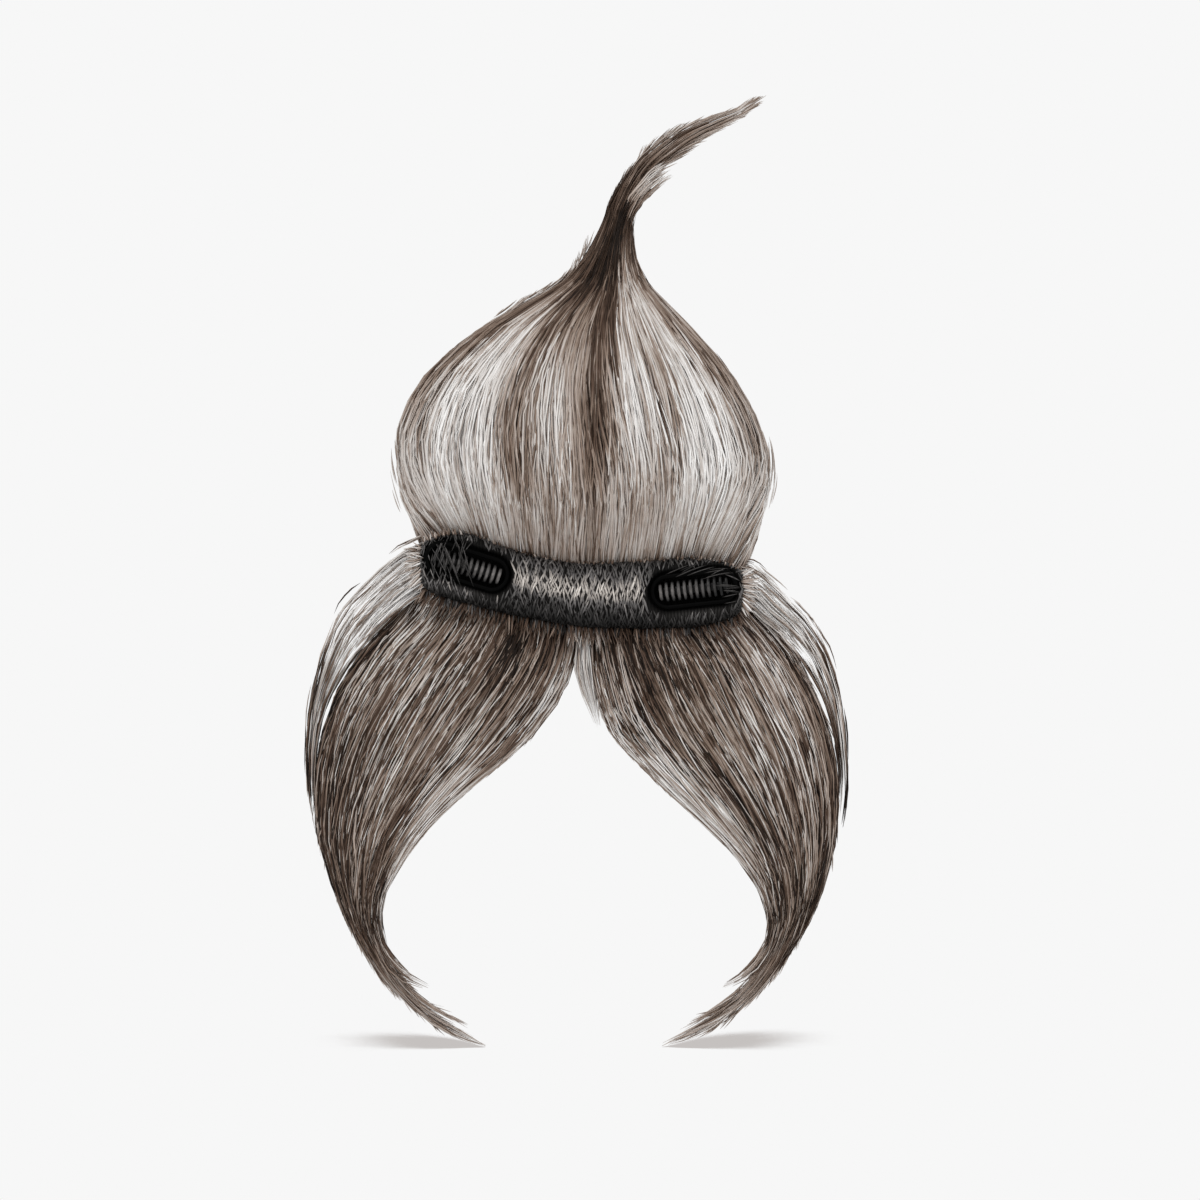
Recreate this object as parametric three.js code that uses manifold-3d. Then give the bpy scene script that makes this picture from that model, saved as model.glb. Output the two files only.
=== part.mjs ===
// A clip-on ponytail: a wound, padded band with two comb clips set into its inner face, a crown of
// hair swept up from the band into an onion-shaped bulb with a curled tip, and two side locks that
// hang below it and sweep out and back in to a point.
// Millimetres, +Z up. The inner face of the band, which lies on the head, looks along -Y, and the
// origin is the middle of that face.
import * as THREE from "three";
import { mergeVertices } from "three/addons/utils/BufferGeometryUtils.js";
import Module from "manifold-3d";

const wasm = await Module();
wasm.setup();

// Driving dimensions.
const BAND_HALF_LENGTH = 54.5;
const BAND_DEPTH = 13;
const BAND_END_FORWARD = 8; // how far each end of the band bends towards the head
const BAND_SQUARENESS = 0.62; // 1 gives an elliptical band section, 0 a rectangular one
const BAND_END_FULLNESS = 12; // a higher power keeps the band full for longer before its ends
const BAND_END_ROUNDING = 0.35; // a higher power rounds the ends of the band more
const BAND_END_FACE = 0.4; // size of the end faces, as a share of the band's section
const CLIP_LENGTH = 30;
const CLIP_WIDTH = 12;
const CLIP_BAR = 1.7; // width of the steel bar of a clip's frame
const CLIP_THICKNESS = 1.8;
const CLIP_RECESS = 0.7; // how far a clip's frame lies below the face of the band
const CLIP_BEVEL = 0.35;
const GRIP_RIBS = 12;
const GRIP_HALF_WIDTH = 3.6;
const GRIP_HALF_DEPTH = 2.4;
const GRIP_RISE = 0.2; // how far the ribs stand below the face of the band
const GRIP_END_FILL = 0.96; // how far the grip reaches into the round ends of its frame
const RIB_PROFILE = [[-0.4, 0.7], [0, 1], [0.4, 0.7]]; // place and height in a rib
const GAP = 0.4; // clearance between the band and the pieces of a clip
const HAIR_GAP = 0.8; // clearance between the band and the hair around it
const CUT_REACH = 60; // how far in front of the band the hair is cut away
const CROWN_LOCKS = 20;
const SIDE_LOCKS = 12;
const LOCK_VALLEY = 0.87; // radius of the valleys between locks, as a share of their bundle's
const LOCK_VARIETY = 0.025; // how far the crests of the locks differ, as a share of the same
const LOCK_PHASE = 2.4; // step from one lock to the next in that difference, in radians
const LOCK_SWING = 0.1; // how far the locks swing round their bundle, in radians
const LOCK_SPREAD = 0.09; // how unevenly the locks share the way round it, in radians

// Mesh densities.
const BAND_SIDES = 16;
const BAND_STEPS = 20;
const POINTS_PER_LOCK = 4;
const CROWN_STEPS = 20;
const SIDE_STEPS = 17;
const WISP_SIDES = 6;
const WISP_STEPS_PER_ROW = 2;
const ARC_STEPS = 5;
const GRIP_SIDES = 8;

// A table of named columns, as one object for each row.
function table(columns, rows) {
  return rows.map((row) => Object.fromEntries(columns.map((name, i) => [name, row[i]])));
}

// The band from left to right: the heights of its top and bottom edge. Its left end stands higher.
const BAND = table(["x", "top", "bottom"], [
  [-54.5, 20.5, 1.0],
  [-38.0, 20.5, -2.3],
  [-25.0, 15.6, -5.8],
  [-12.0, 12.0, -8.4],
  [0.0, 10.3, -10.3],
  [19.0, 11.0, -10.8],
  [37.0, 12.2, -10.0],
  [54.5, 11.0, -7.4],
]);

// Hair bundles from root to tip. Each row is a section: its left and right edge as seen from the
// head, the middle and half of its depth, and how much of the band's curve it follows.
const SECTION = ["leftX", "leftZ", "rightX", "rightZ", "y", "halfDepth", "follow"];
const CROWN = table(SECTION, [
  [-52.0, 0.4, 52.0, 0.4, 19.0, 5.4, 1],
  [-56.3, 16.0, 57.0, 13.0, 14.0, 12.0, 0.5],
  [-60.3, 32.0, 62.0, 31.0, 11.0, 26.0, 0],
  [-62.5, 46.0, 62.7, 44.0, 11.0, 33.0, 0],
  [-60.3, 58.7, 58.3, 58.7, 11.0, 33.0, 0],
  [-51.7, 73.7, 49.7, 73.7, 11.0, 28.0, 0],
  [-34.3, 88.7, 36.7, 88.7, 11.0, 20.0, 0],
  [-16.7, 98.7, 27.0, 98.7, 11.0, 13.5, 0],
  [-4.7, 108.7, 20.7, 108.7, 11.0, 9.5, 0],
  [5.7, 123.7, 18.0, 123.7, 11.0, 6.3, 0],
  [8.7, 133.0, 20.3, 129.7, 11.0, 5.8, 0],
  [16.7, 145.3, 27.3, 139.3, 11.0, 5.2, 0],
  [31.3, 156.0, 39.7, 151.0, 11.0, 4.0, 0],
  [50.3, 164.0, 54.3, 160.0, 11.0, 2.0, 0],
  [61.0, 166.4, 61.6, 166.0, 11.0, 0.5, 0],
]);
const LEFT_LOCK = table(SECTION, [
  [-52.0, -0.4, -0.9, -0.4, 19.0, 5.4, 1],
  [-58.0, -3.3, -1.7, -18.0, 14.0, 10.0, 0],
  [-70.0, -14.7, -5.0, -30.7, 12.0, 13.0, 0],
  [-80.7, -29.7, -12.3, -42.7, 11.0, 14.0, 0],
  [-87.3, -46.3, -23.3, -54.7, 10.0, 14.0, 0],
  [-90.0, -63.0, -36.0, -64.7, 10.0, 13.0, 0],
  [-89.7, -79.7, -49.3, -76.7, 10.0, 11.5, 0],
  [-86.3, -92.0, -59.0, -88.7, 9.5, 9.5, 0],
  [-81.7, -105.3, -65.7, -100.7, 8.5, 7.5, 0],
  [-75.3, -118.0, -66.3, -112.0, 6.5, 5.5, 0],
  [-67.3, -129.7, -61.3, -123.0, 3.5, 4.2, 0],
  [-57.3, -138.7, -52.7, -132.7, 0.0, 3.2, 0],
  [-47.3, -145.0, -43.3, -140.3, -4.0, 2.0, 0],
  [-32.6, -150.3, -32.0, -149.9, -9.0, 0.5, 0],
]);
const RIGHT_LOCK = table(SECTION, [
  [0.9, -0.4, 52.0, -0.4, 19.0, 5.4, 1],
  [2.0, -18.0, 56.0, -3.3, 14.0, 10.0, 0],
  [4.0, -31.3, 67.3, -14.7, 12.0, 13.0, 0],
  [8.7, -45.7, 76.7, -29.3, 11.0, 14.0, 0],
  [19.3, -58.3, 83.3, -46.3, 10.0, 14.0, 0],
  [31.3, -69.7, 86.3, -63.0, 10.0, 13.0, 0],
  [43.7, -80.7, 86.0, -79.7, 10.0, 11.5, 0],
  [54.0, -91.3, 83.3, -93.0, 9.5, 9.5, 0],
  [60.0, -103.0, 79.0, -105.7, 8.5, 7.5, 0],
  [60.7, -113.0, 72.7, -117.3, 6.5, 5.5, 0],
  [56.7, -123.3, 64.3, -129.0, 3.5, 4.2, 0],
  [48.3, -132.7, 54.0, -138.7, 0.0, 3.2, 0],
  [39.3, -140.7, 43.3, -145.3, -4.0, 2.0, 0],
  [26.4, -149.9, 27.0, -150.3, -9.0, 0.5, 0],
]);

// Loose wisps from root to tip: the line that each follows and its half width and half depth.
const WISP = ["x", "y", "z", "halfWidth", "halfDepth"];
const OUTER_WISP_LEFT = table(WISP, [
  [-49.5, 12.0, 3.0, 4.0, 3.0],
  [-61.0, 9.0, 6.0, 6.2, 4.0],
  [-72.5, 9.0, -2.5, 4.8, 4.6],
  [-82.0, 9.5, -17.0, 3.8, 4.2],
  [-88.0, 10.0, -33.5, 2.9, 3.6],
  [-91.2, 10.0, -51.0, 2.2, 3.0],
  [-91.0, 10.0, -66.0, 1.8, 2.6],
  [-87.0, 10.0, -81.0, 1.2, 1.8],
]);
const OUTER_WISP_RIGHT = table(WISP, [
  [48.5, 13.0, -4.0, 3.4, 3.0],
  [58.5, 9.0, 0.0, 5.4, 4.0],
  [68.5, 9.0, -6.5, 4.8, 4.6],
  [78.0, 9.5, -18.5, 3.8, 4.2],
  [83.8, 10.0, -34.0, 2.9, 3.6],
  [87.2, 10.0, -51.0, 2.3, 3.0],
  [87.9, 10.0, -66.0, 1.8, 2.6],
  [84.0, 10.0, -81.0, 1.2, 1.8],
]);
const TIP_WISP_LEFT = table(WISP, [
  [-68.0, 6.5, -112.0, 2.2, 2.2],
  [-64.0, 3.5, -121.0, 1.9, 1.9],
  [-58.0, 0.5, -128.0, 1.3, 1.4],
  [-50.5, -2.5, -132.3, 0.4, 0.5],
]);
const TIP_WISP_RIGHT = table(WISP, [
  [62.5, 6.5, -112.5, 2.2, 2.2],
  [59.0, 3.5, -121.0, 1.9, 1.9],
  [53.5, 0.5, -127.5, 1.3, 1.4],
  [46.5, -2.5, -132.0, 0.4, 0.5],
]);
const CURL_WISP = table(WISP, [
  [15.0, 10.0, 122.0, 2.2, 2.4],
  [18.5, 8.5, 130.5, 1.9, 2.2],
  [23.5, 7.5, 136.5, 1.5, 1.6],
  [29.5, 7.0, 140.5, 0.4, 0.5],
]);
const CENTRE_WISP = table(WISP, [
  [4.0, 15.0, -8.0, 3.4, 3.0],
  [2.5, 12.5, -18.0, 3.4, 2.6],
  [3.5, 11.0, -31.0, 2.6, 2.2],
  [6.8, 10.0, -49.5, 0.4, 0.5],
]);

// The steel comb clips: where each lies on the face of the band and how it leans.
const CLIPS = table(["name", "x", "z", "leanDegrees"], [
  ["clip_left", -38.0, 10.2, -18],
  ["clip_right", 37.0, 2.6, 7],
]);

const MATERIALS = {
  band: new THREE.MeshStandardMaterial({ color: "#4a4644", roughness: 0.75, metalness: 0 }),
  hair: new THREE.MeshStandardMaterial({ color: "#7d7068", roughness: 0.55, metalness: 0 }),
  clipSteel: new THREE.MeshStandardMaterial({ color: "#141211", roughness: 0.35, metalness: 0.6 }),
  clipGrip: new THREE.MeshStandardMaterial({ color: "#1d1b1a", roughness: 0.4, metalness: 0 }),
};

// A smooth value of one column, part of the way between rows (Catmull-Rom).
function smooth(rows, column, position) {
  const last = rows.length - 1;
  const i = Math.min(Math.max(Math.floor(position), 0), last - 1);
  const t = position - i;
  const at = (k) => rows[Math.min(Math.max(k, 0), last)][column];
  const [p, q, r, s] = [at(i - 1), at(i), at(i + 1), at(i + 2)];
  const slopeQ = (r - p) / 2;
  const slopeR = (s - q) / 2;
  const bend = 2 * (q - r) + slopeQ + slopeR;
  return q + t * (slopeQ + t * (3 * (r - q) - 2 * slopeQ - slopeR + t * bend));
}

// The value of a column of the band's table at a place along the band.
function alongBand(column, x) {
  const inside = THREE.MathUtils.clamp(x, BAND[0].x, BAND[BAND.length - 1].x);
  const next = Math.max(BAND.findIndex((row) => row.x >= inside), 1);
  const [from, to] = [BAND[next - 1].x, BAND[next].x];
  return smooth(BAND, column, next - 1 + (inside - from) / (to - from));
}

function bandMiddle(x) {
  return (alongBand("top", x) + alongBand("bottom", x)) / 2;
}

function bandFace(x) {
  return -BAND_END_FORWARD * (x / BAND_HALF_LENGTH) ** 2;
}

// A closed cylinder with every vertex moved: place(side, along, front) gets its unit coordinates,
// where along runs from 0 to 1.
function bentCylinder(sides, steps, place) {
  const geometry = new THREE.CylinderGeometry(1, 1, 1, sides, steps);
  const position = geometry.getAttribute("position");
  for (let i = 0; i < position.count; i++) {
    const moved = place(position.getX(i), position.getY(i) + 0.5, position.getZ(i));
    position.setXYZ(i, moved.x, moved.y, moved.z);
  }
  return geometry;
}

// A closed geometry as a solid that can be joined and cut.
function solidOf(geometry) {
  const bare = new THREE.BufferGeometry();
  bare.setAttribute("position", geometry.getAttribute("position"));
  bare.setIndex(geometry.getIndex());
  const merged = mergeVertices(bare, 1e-4);
  return new wasm.Manifold(new wasm.Mesh({
    numProp: 3,
    vertProperties: merged.getAttribute("position").array,
    triVerts: new Uint32Array(merged.getIndex().array),
  }));
}

// The outer skin of the largest body: sealed pockets between fused locks and cut-off slivers go.
function wholeBody(solid) {
  const bodies = solid.decompose();
  return bodies.reduce((best, body) => (body.volume() > best.volume() ? body : best));
}

function meshOf(name, solid, material) {
  const { vertProperties, triVerts } = solid.getMesh();
  const geometry = new THREE.BufferGeometry();
  geometry.setAttribute("position", new THREE.BufferAttribute(vertProperties, 3));
  geometry.setIndex(new THREE.BufferAttribute(triVerts, 1));
  geometry.computeVertexNormals();
  const mesh = new THREE.Mesh(geometry, material);
  mesh.name = name;
  return mesh;
}

// The padded band, grown by a margin on every side and reaching further to the front if asked.
function bandSolid(margin, reachForward) {
  const square = (c) => Math.sign(c) * Math.abs(c) ** BAND_SQUARENESS;
  const place = (up, along, back) => {
    const turn = Math.sin((2 * along - 1) * (Math.PI / 2));
    const x = turn * (BAND_HALF_LENGTH + margin);
    const fullness = (1 - turn ** BAND_END_FULLNESS) ** BAND_END_ROUNDING;
    const round = Math.max(fullness, BAND_END_FACE);
    const halfHeight = ((alongBand("top", x) - alongBand("bottom", x)) / 2) * round + margin;
    const halfDepth = (BAND_DEPTH / 2) * round + margin;
    const forward = back < 0 ? reachForward : 0;
    return new THREE.Vector3(
      x,
      bandFace(x) + BAND_DEPTH / 2 + halfDepth * square(back) - forward,
      bandMiddle(x) + halfHeight * square(up),
    );
  };
  return solidOf(bentCylinder(BAND_SIDES, BAND_STEPS, place));
}

// A point of a hair bundle: position counts table rows, side runs from the left or right edge
// (whichever keeps the faces outward for a bundle that grows up or down) and front towards the head.
function bundlePoint(rows, growth, position, side, front) {
  const value = (column) => smooth(rows, column, position);
  const [leftX, leftZ, rightX, rightZ] = ["leftX", "leftZ", "rightX", "rightZ"].map(value);
  const reach = (side * growth) / 2;
  const x = (leftX + rightX) / 2 + (rightX - leftX) * reach;
  const z = (leftZ + rightZ) / 2 + (rightZ - leftZ) * reach;
  const follow = value("follow");
  return new THREE.Vector3(
    x,
    value("y") - front * value("halfDepth") + follow * bandFace(x),
    z + follow * bandMiddle(x),
  );
}

// A bundle of hair: raised locks lie side by side around it from root to tip, run together at
// their valleys. Locks differ in width and height, and swing a little round the bundle.
function hairBundle(rows, growth, lockCount, steps) {
  const last = rows.length - 1;
  const geometry = bentCylinder(POINTS_PER_LOCK * lockCount, steps, (side, along, front) => {
    const angle = Math.atan2(side, front);
    const count = (angle / (2 * Math.PI)) * lockCount;
    const lock = Math.round(count);
    const offCrest = 2 * Math.abs(count - lock);
    const crest = 1 + LOCK_VARIETY * Math.sin(LOCK_PHASE * ((lock + lockCount) % lockCount));
    const lobe = LOCK_VALLEY + (crest - LOCK_VALLEY) * (1 - offCrest ** 2);
    const radius = Math.hypot(side, front) * lobe;
    const swing = LOCK_SWING * Math.sin(Math.PI * along) + LOCK_SPREAD * Math.sin(3 * angle + 1);
    const across = radius * Math.sin(angle + swing);
    const forward = radius * Math.cos(angle + swing);
    return bundlePoint(rows, growth, along * last, across, forward);
  });
  return solidOf(geometry);
}

// A loose wisp: a flat tapering tube along a smooth line.
function wisp(rows) {
  const line = new THREE.CatmullRomCurve3(rows.map(({ x, y, z }) => new THREE.Vector3(x, y, z)));
  const last = rows.length - 1;
  const forward = new THREE.Vector3(0, -1, 0);
  const geometry = bentCylinder(WISP_SIDES, WISP_STEPS_PER_ROW * last, (side, along, front) => {
    const across = line.getTangent(along).cross(forward).normalize();
    return line.getPoint(along)
      .addScaledVector(across, side * smooth(rows, "halfWidth", along * last))
      .addScaledVector(forward, front * smooth(rows, "halfDepth", along * last));
  });
  return solidOf(geometry);
}

function stadium(length, width) {
  const radius = width / 2;
  const straight = length / 2 - radius;
  const shape = new THREE.Shape();
  shape.absarc(straight, 0, radius, -Math.PI / 2, Math.PI / 2);
  shape.absarc(-straight, 0, radius, Math.PI / 2, (3 * Math.PI) / 2);
  return shape;
}

// A flat stadium-shaped block from one depth to another, both measured out of the clip's face.
function stadiumBlock(length, width, inner, outer) {
  const block = new THREE.ExtrudeGeometry(stadium(length, width), {
    depth: outer - inner,
    bevelEnabled: false,
    curveSegments: ARC_STEPS,
  });
  return block.translate(0, 0, inner);
}

// The steel frame of a clip: a stadium-shaped loop with softened edges.
function clipFrame() {
  const outline = stadium(CLIP_LENGTH - 2 * CLIP_BEVEL, CLIP_WIDTH - 2 * CLIP_BEVEL);
  const holeInset = 2 * (CLIP_BAR - CLIP_BEVEL);
  outline.holes.push(stadium(CLIP_LENGTH - holeInset, CLIP_WIDTH - holeInset));
  const frame = new THREE.ExtrudeGeometry(outline, {
    depth: CLIP_THICKNESS - 2 * CLIP_BEVEL,
    bevelSize: CLIP_BEVEL,
    bevelThickness: CLIP_BEVEL,
    bevelSegments: 1,
    curveSegments: ARC_STEPS,
  });
  return frame.translate(0, 0, -CLIP_RECESS - CLIP_THICKNESS + CLIP_BEVEL);
}

// The ribbed grip inside a clip's frame: rounded ribs on one spine, turned and then flattened.
// Towards the ends the ribs shrink to stay inside the round ends of the frame.
function clipGrip() {
  const endRadius = CLIP_WIDTH / 2 - CLIP_BAR - GAP;
  const straight = (CLIP_LENGTH - CLIP_WIDTH) / 2;
  const halfLength = straight + GRIP_END_FILL * endRadius;
  const pitch = (2 * halfLength) / GRIP_RIBS;
  const room = (along) => {
    const past = Math.max(Math.abs(along) - straight, 0);
    return Math.min(Math.sqrt(endRadius ** 2 - past ** 2) / GRIP_HALF_WIDTH, 1);
  };
  const profile = [new THREE.Vector2(0, -halfLength)];
  for (let i = 0; i < GRIP_RIBS; i++) {
    const middle = (i + 0.5) * pitch - halfLength;
    for (const [share, height] of RIB_PROFILE) {
      const along = middle + share * pitch;
      profile.push(new THREE.Vector2(height * room(along), along));
    }
  }
  profile.push(new THREE.Vector2(0, halfLength));
  const grip = new THREE.LatheGeometry(profile, GRIP_SIDES);
  return grip.rotateZ(-Math.PI / 2)
    .scale(1, GRIP_HALF_WIDTH, GRIP_HALF_DEPTH)
    .translate(0, 0, -GRIP_RISE - GRIP_HALF_DEPTH);
}

// The recess for a clip: a ledge that carries the frame and a deeper trough for the grip.
function clipPocket() {
  const proud = BAND_DEPTH;
  const ledgeFloor = -CLIP_RECESS - CLIP_THICKNESS - GAP;
  const troughFloor = -GRIP_RISE - 2 * GRIP_HALF_DEPTH - GAP;
  const ledge = stadiumBlock(CLIP_LENGTH + 2 * GAP, CLIP_WIDTH + 2 * GAP, ledgeFloor, proud);
  const trough = stadiumBlock(
    CLIP_LENGTH - 2 * CLIP_BAR, CLIP_WIDTH - 2 * CLIP_BAR, troughFloor, proud);
  return solidOf(ledge).add(solidOf(trough));
}

// The group that a clip lies in: its own +Z looks out of the band's face, towards the head.
function clipPlace({ x, z, leanDegrees }) {
  const place = new THREE.Group();
  const slope = Math.atan2(-2 * BAND_END_FORWARD * x, BAND_HALF_LENGTH ** 2);
  place.position.set(x, bandFace(x), z);
  place.quaternion.setFromEuler(new THREE.Euler(0, 0, slope))
    .multiply(new THREE.Quaternion().setFromAxisAngle(new THREE.Vector3(1, 0, 0), Math.PI / 2))
    .multiply(new THREE.Quaternion().setFromAxisAngle(
      new THREE.Vector3(0, 0, 1), THREE.MathUtils.degToRad(leanDegrees)));
  place.updateMatrix();
  return place;
}

const UP = 1;
const DOWN = -1;
const hairpiece = new THREE.Group();

let band = bandSolid(0, 0);
for (const clip of CLIPS) {
  const place = clipPlace(clip);
  band = band.subtract(clipPocket().transform(place.matrix.elements));
  place.add(meshOf(`${clip.name}_frame`, solidOf(clipFrame()), MATERIALS.clipSteel));
  place.add(meshOf(`${clip.name}_grip`, solidOf(clipGrip()), MATERIALS.clipGrip));
  hairpiece.add(place);
}
hairpiece.add(meshOf("band", band, MATERIALS.band));

// A bundle with its loose wisps, cut away around the band.
const aroundBand = bandSolid(HAIR_GAP, CUT_REACH);
function addHair(name, bundle, wisps) {
  const fused = wisps.reduce((solid, rows) => solid.add(wisp(rows)), bundle);
  hairpiece.add(meshOf(name, wholeBody(fused.subtract(aroundBand)), MATERIALS.hair));
}
addHair("crown_tuft", hairBundle(CROWN, UP, CROWN_LOCKS, CROWN_STEPS), [CURL_WISP]);
addHair("side_lock_left", hairBundle(LEFT_LOCK, DOWN, SIDE_LOCKS, SIDE_STEPS),
  [OUTER_WISP_LEFT, TIP_WISP_LEFT]);
addHair("side_lock_right", hairBundle(RIGHT_LOCK, DOWN, SIDE_LOCKS, SIDE_STEPS),
  [OUTER_WISP_RIGHT, TIP_WISP_RIGHT, CENTRE_WISP]);

export default hairpiece;
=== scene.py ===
import math

import bmesh
import bpy
import numpy as np
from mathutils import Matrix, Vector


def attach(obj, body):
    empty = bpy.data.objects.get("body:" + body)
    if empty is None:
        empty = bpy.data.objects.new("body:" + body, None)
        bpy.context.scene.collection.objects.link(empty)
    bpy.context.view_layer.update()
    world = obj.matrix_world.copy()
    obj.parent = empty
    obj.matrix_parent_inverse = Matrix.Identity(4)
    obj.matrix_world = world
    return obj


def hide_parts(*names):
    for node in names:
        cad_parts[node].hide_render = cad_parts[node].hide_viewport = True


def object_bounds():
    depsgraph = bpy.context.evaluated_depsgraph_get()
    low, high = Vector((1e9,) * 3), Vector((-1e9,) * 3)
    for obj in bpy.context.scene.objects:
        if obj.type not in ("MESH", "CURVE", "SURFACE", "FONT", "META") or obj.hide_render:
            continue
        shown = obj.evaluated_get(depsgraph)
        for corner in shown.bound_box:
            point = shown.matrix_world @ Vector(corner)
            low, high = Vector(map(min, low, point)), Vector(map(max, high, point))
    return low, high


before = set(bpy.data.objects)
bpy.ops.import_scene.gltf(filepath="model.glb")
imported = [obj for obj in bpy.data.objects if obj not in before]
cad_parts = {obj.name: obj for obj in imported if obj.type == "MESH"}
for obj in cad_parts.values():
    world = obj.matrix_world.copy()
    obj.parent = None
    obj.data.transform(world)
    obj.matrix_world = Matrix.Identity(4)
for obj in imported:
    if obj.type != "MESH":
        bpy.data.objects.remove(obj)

CAD_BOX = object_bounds()
MM = 0.001
BODY = "root"
random = np.random.default_rng(11)


def table(columns, rows):
    """A table of named columns, as one array for each column."""
    return {name: np.array(values, float) for name, values in zip(columns.split(), zip(*rows))}


# Sizes of the band and its clips.
BAND_HALF_LENGTH = 54.5
BAND_DEPTH = 13.0
BAND_END_FORWARD = 8.0
BAND_SQUARENESS = 0.62
BAND_END_FULLNESS = 12
BAND_END_ROUNDING = 0.35
BAND_END_FACE = 0.4
CLIP_LENGTH = 30.0
CLIP_WIDTH = 12.0
CLIP_BAR = 1.7
CLIP_THICKNESS = 1.8
CLIP_RECESS = 0.7
CLIP_SQUARENESS = 0.7
GRIP_RIBS = 12
GRIP_LENGTH = 24.5
GRIP_WIDTH = 7.0
GRIP_DEPTH = 4.4
GRIP_RISE = 0.2
GRIP_END_RADIUS = 3.9  # room for the ribs in the round ends of the loop
RIB_SHARE = 0.56  # width of a rib, as a share of the space from one to the next
RIB_ARCH = 1.1  # mm by which the ends of a rib lie lower than its middle
RIB_ROUNDING = 0.45  # radius of its edges, as a share of its thinner side
SPINE_WIDTH = 0.5  # the bar that joins the ribs, as shares of the grip
SPINE_DEPTH = 0.45
HIGHLIGHT_DEPTH = 1.1  # mm below the crests that still carry the painted highlight
HIGHLIGHT_LOSS = 0.45  # share of the painted highlight that is lost at the ends of a rib
RIB_HIGHLIGHT = {  # places along a clip in mm, and how strong the painted highlight on its rib crests is there; low values are painted shade
    "clip_left": [(-10, 0.25), (-2, 0.48), (4, 0.74), (12, 0.9)],
    "clip_right": [(-12, 0.75), (-2, 0.7), (4, 0.5), (9, 0.1)],
}
POCKET_DEPTH = 5.6
POCKET_RIM = 2.0  # how far the pocket's soft edge starts outside the clip
POCKET_SLOPE = 3.2  # width of that soft edge

BAND = table("x top bottom", [
    (-54.5, 20.5, 1.0),
    (-38.0, 20.5, -2.3),
    (-25.0, 15.6, -5.8),
    (-12.0, 12.0, -8.4),
    (0.0, 10.3, -10.3),
    (19.0, 11.0, -10.8),
    (37.0, 12.2, -10.0),
    (54.5, 11.0, -7.4),
])
CLIPS = [("clip_left", -38.0, 10.2, -18.0), ("clip_right", 37.0, 2.6, 7.0)]  # name, x, z, lean

# Hair bundles from root to tip: the left and right edge of each section, the middle and half of its
# depth, and how much of the band's curve it follows.
SECTION = "left_x left_z right_x right_z y half_depth follow"
CROWN = table(SECTION, [
    (-52.0, 0.4, 52.0, 0.4, 19.0, 5.4, 1),
    (-56.3, 16.0, 57.0, 13.0, 14.0, 12.0, 0.5),
    (-60.3, 32.0, 62.0, 31.0, 11.0, 26.0, 0),
    (-62.5, 46.0, 62.7, 44.0, 11.0, 33.0, 0),
    (-60.3, 58.7, 58.3, 58.7, 11.0, 33.0, 0),
    (-51.7, 73.7, 49.7, 73.7, 11.0, 28.0, 0),
    (-34.3, 88.7, 36.7, 88.7, 11.0, 20.0, 0),
    (-16.7, 98.7, 27.0, 98.7, 11.0, 13.5, 0),
    (-4.7, 108.7, 20.7, 108.7, 11.0, 9.5, 0),
    (5.7, 123.7, 18.0, 123.7, 11.0, 6.3, 0),
    (8.7, 133.0, 20.3, 129.7, 11.0, 5.8, 0),
    (16.7, 145.3, 27.3, 139.3, 11.0, 5.2, 0),
    (31.3, 156.0, 39.7, 151.0, 11.0, 4.0, 0),
    (50.3, 164.0, 54.3, 160.0, 11.0, 2.0, 0),
    (61.0, 166.4, 61.6, 166.0, 11.0, 0.5, 0),
])
LEFT_LOCK = table(SECTION, [
    (-52.0, -0.4, -0.9, -0.4, 19.0, 5.4, 1),
    (-58.0, -3.3, -1.7, -18.0, 14.0, 10.0, 0),
    (-70.0, -14.7, -5.0, -30.7, 12.0, 13.0, 0),
    (-80.7, -29.7, -12.3, -42.7, 11.0, 14.0, 0),
    (-87.3, -46.3, -23.3, -54.7, 10.0, 14.0, 0),
    (-90.0, -63.0, -36.0, -64.7, 10.0, 13.0, 0),
    (-89.7, -79.7, -49.3, -76.7, 10.0, 11.5, 0),
    (-86.3, -92.0, -59.0, -88.7, 9.5, 9.5, 0),
    (-81.7, -105.3, -65.7, -100.7, 8.5, 7.5, 0),
    (-75.3, -118.0, -66.3, -112.0, 6.5, 5.5, 0),
    (-67.3, -129.7, -61.3, -123.0, 3.5, 4.2, 0),
    (-57.3, -138.7, -52.7, -132.7, 0.0, 3.2, 0),
    (-47.3, -145.0, -43.3, -140.3, -4.0, 2.0, 0),
    (-32.6, -150.3, -32.0, -149.9, -9.0, 0.5, 0),
])
RIGHT_LOCK = table(SECTION, [
    (0.9, -0.4, 52.0, -0.4, 19.0, 5.4, 1),
    (2.0, -18.0, 56.0, -3.3, 14.0, 10.0, 0),
    (4.0, -31.3, 67.3, -14.7, 12.0, 13.0, 0),
    (8.7, -45.7, 76.7, -29.3, 11.0, 14.0, 0),
    (19.3, -58.3, 83.3, -46.3, 10.0, 14.0, 0),
    (31.3, -69.7, 86.3, -63.0, 10.0, 13.0, 0),
    (43.7, -80.7, 86.0, -79.7, 10.0, 11.5, 0),
    (54.0, -91.3, 83.3, -93.0, 9.5, 9.5, 0),
    (60.0, -103.0, 79.0, -105.7, 8.5, 7.5, 0),
    (60.7, -113.0, 72.7, -117.3, 6.5, 5.5, 0),
    (56.7, -123.3, 64.3, -129.0, 3.5, 4.2, 0),
    (48.3, -132.7, 54.0, -138.7, 0.0, 3.2, 0),
    (39.3, -140.7, 43.3, -145.3, -4.0, 2.0, 0),
    (26.4, -149.9, 27.0, -150.3, -9.0, 0.5, 0),
])

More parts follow.
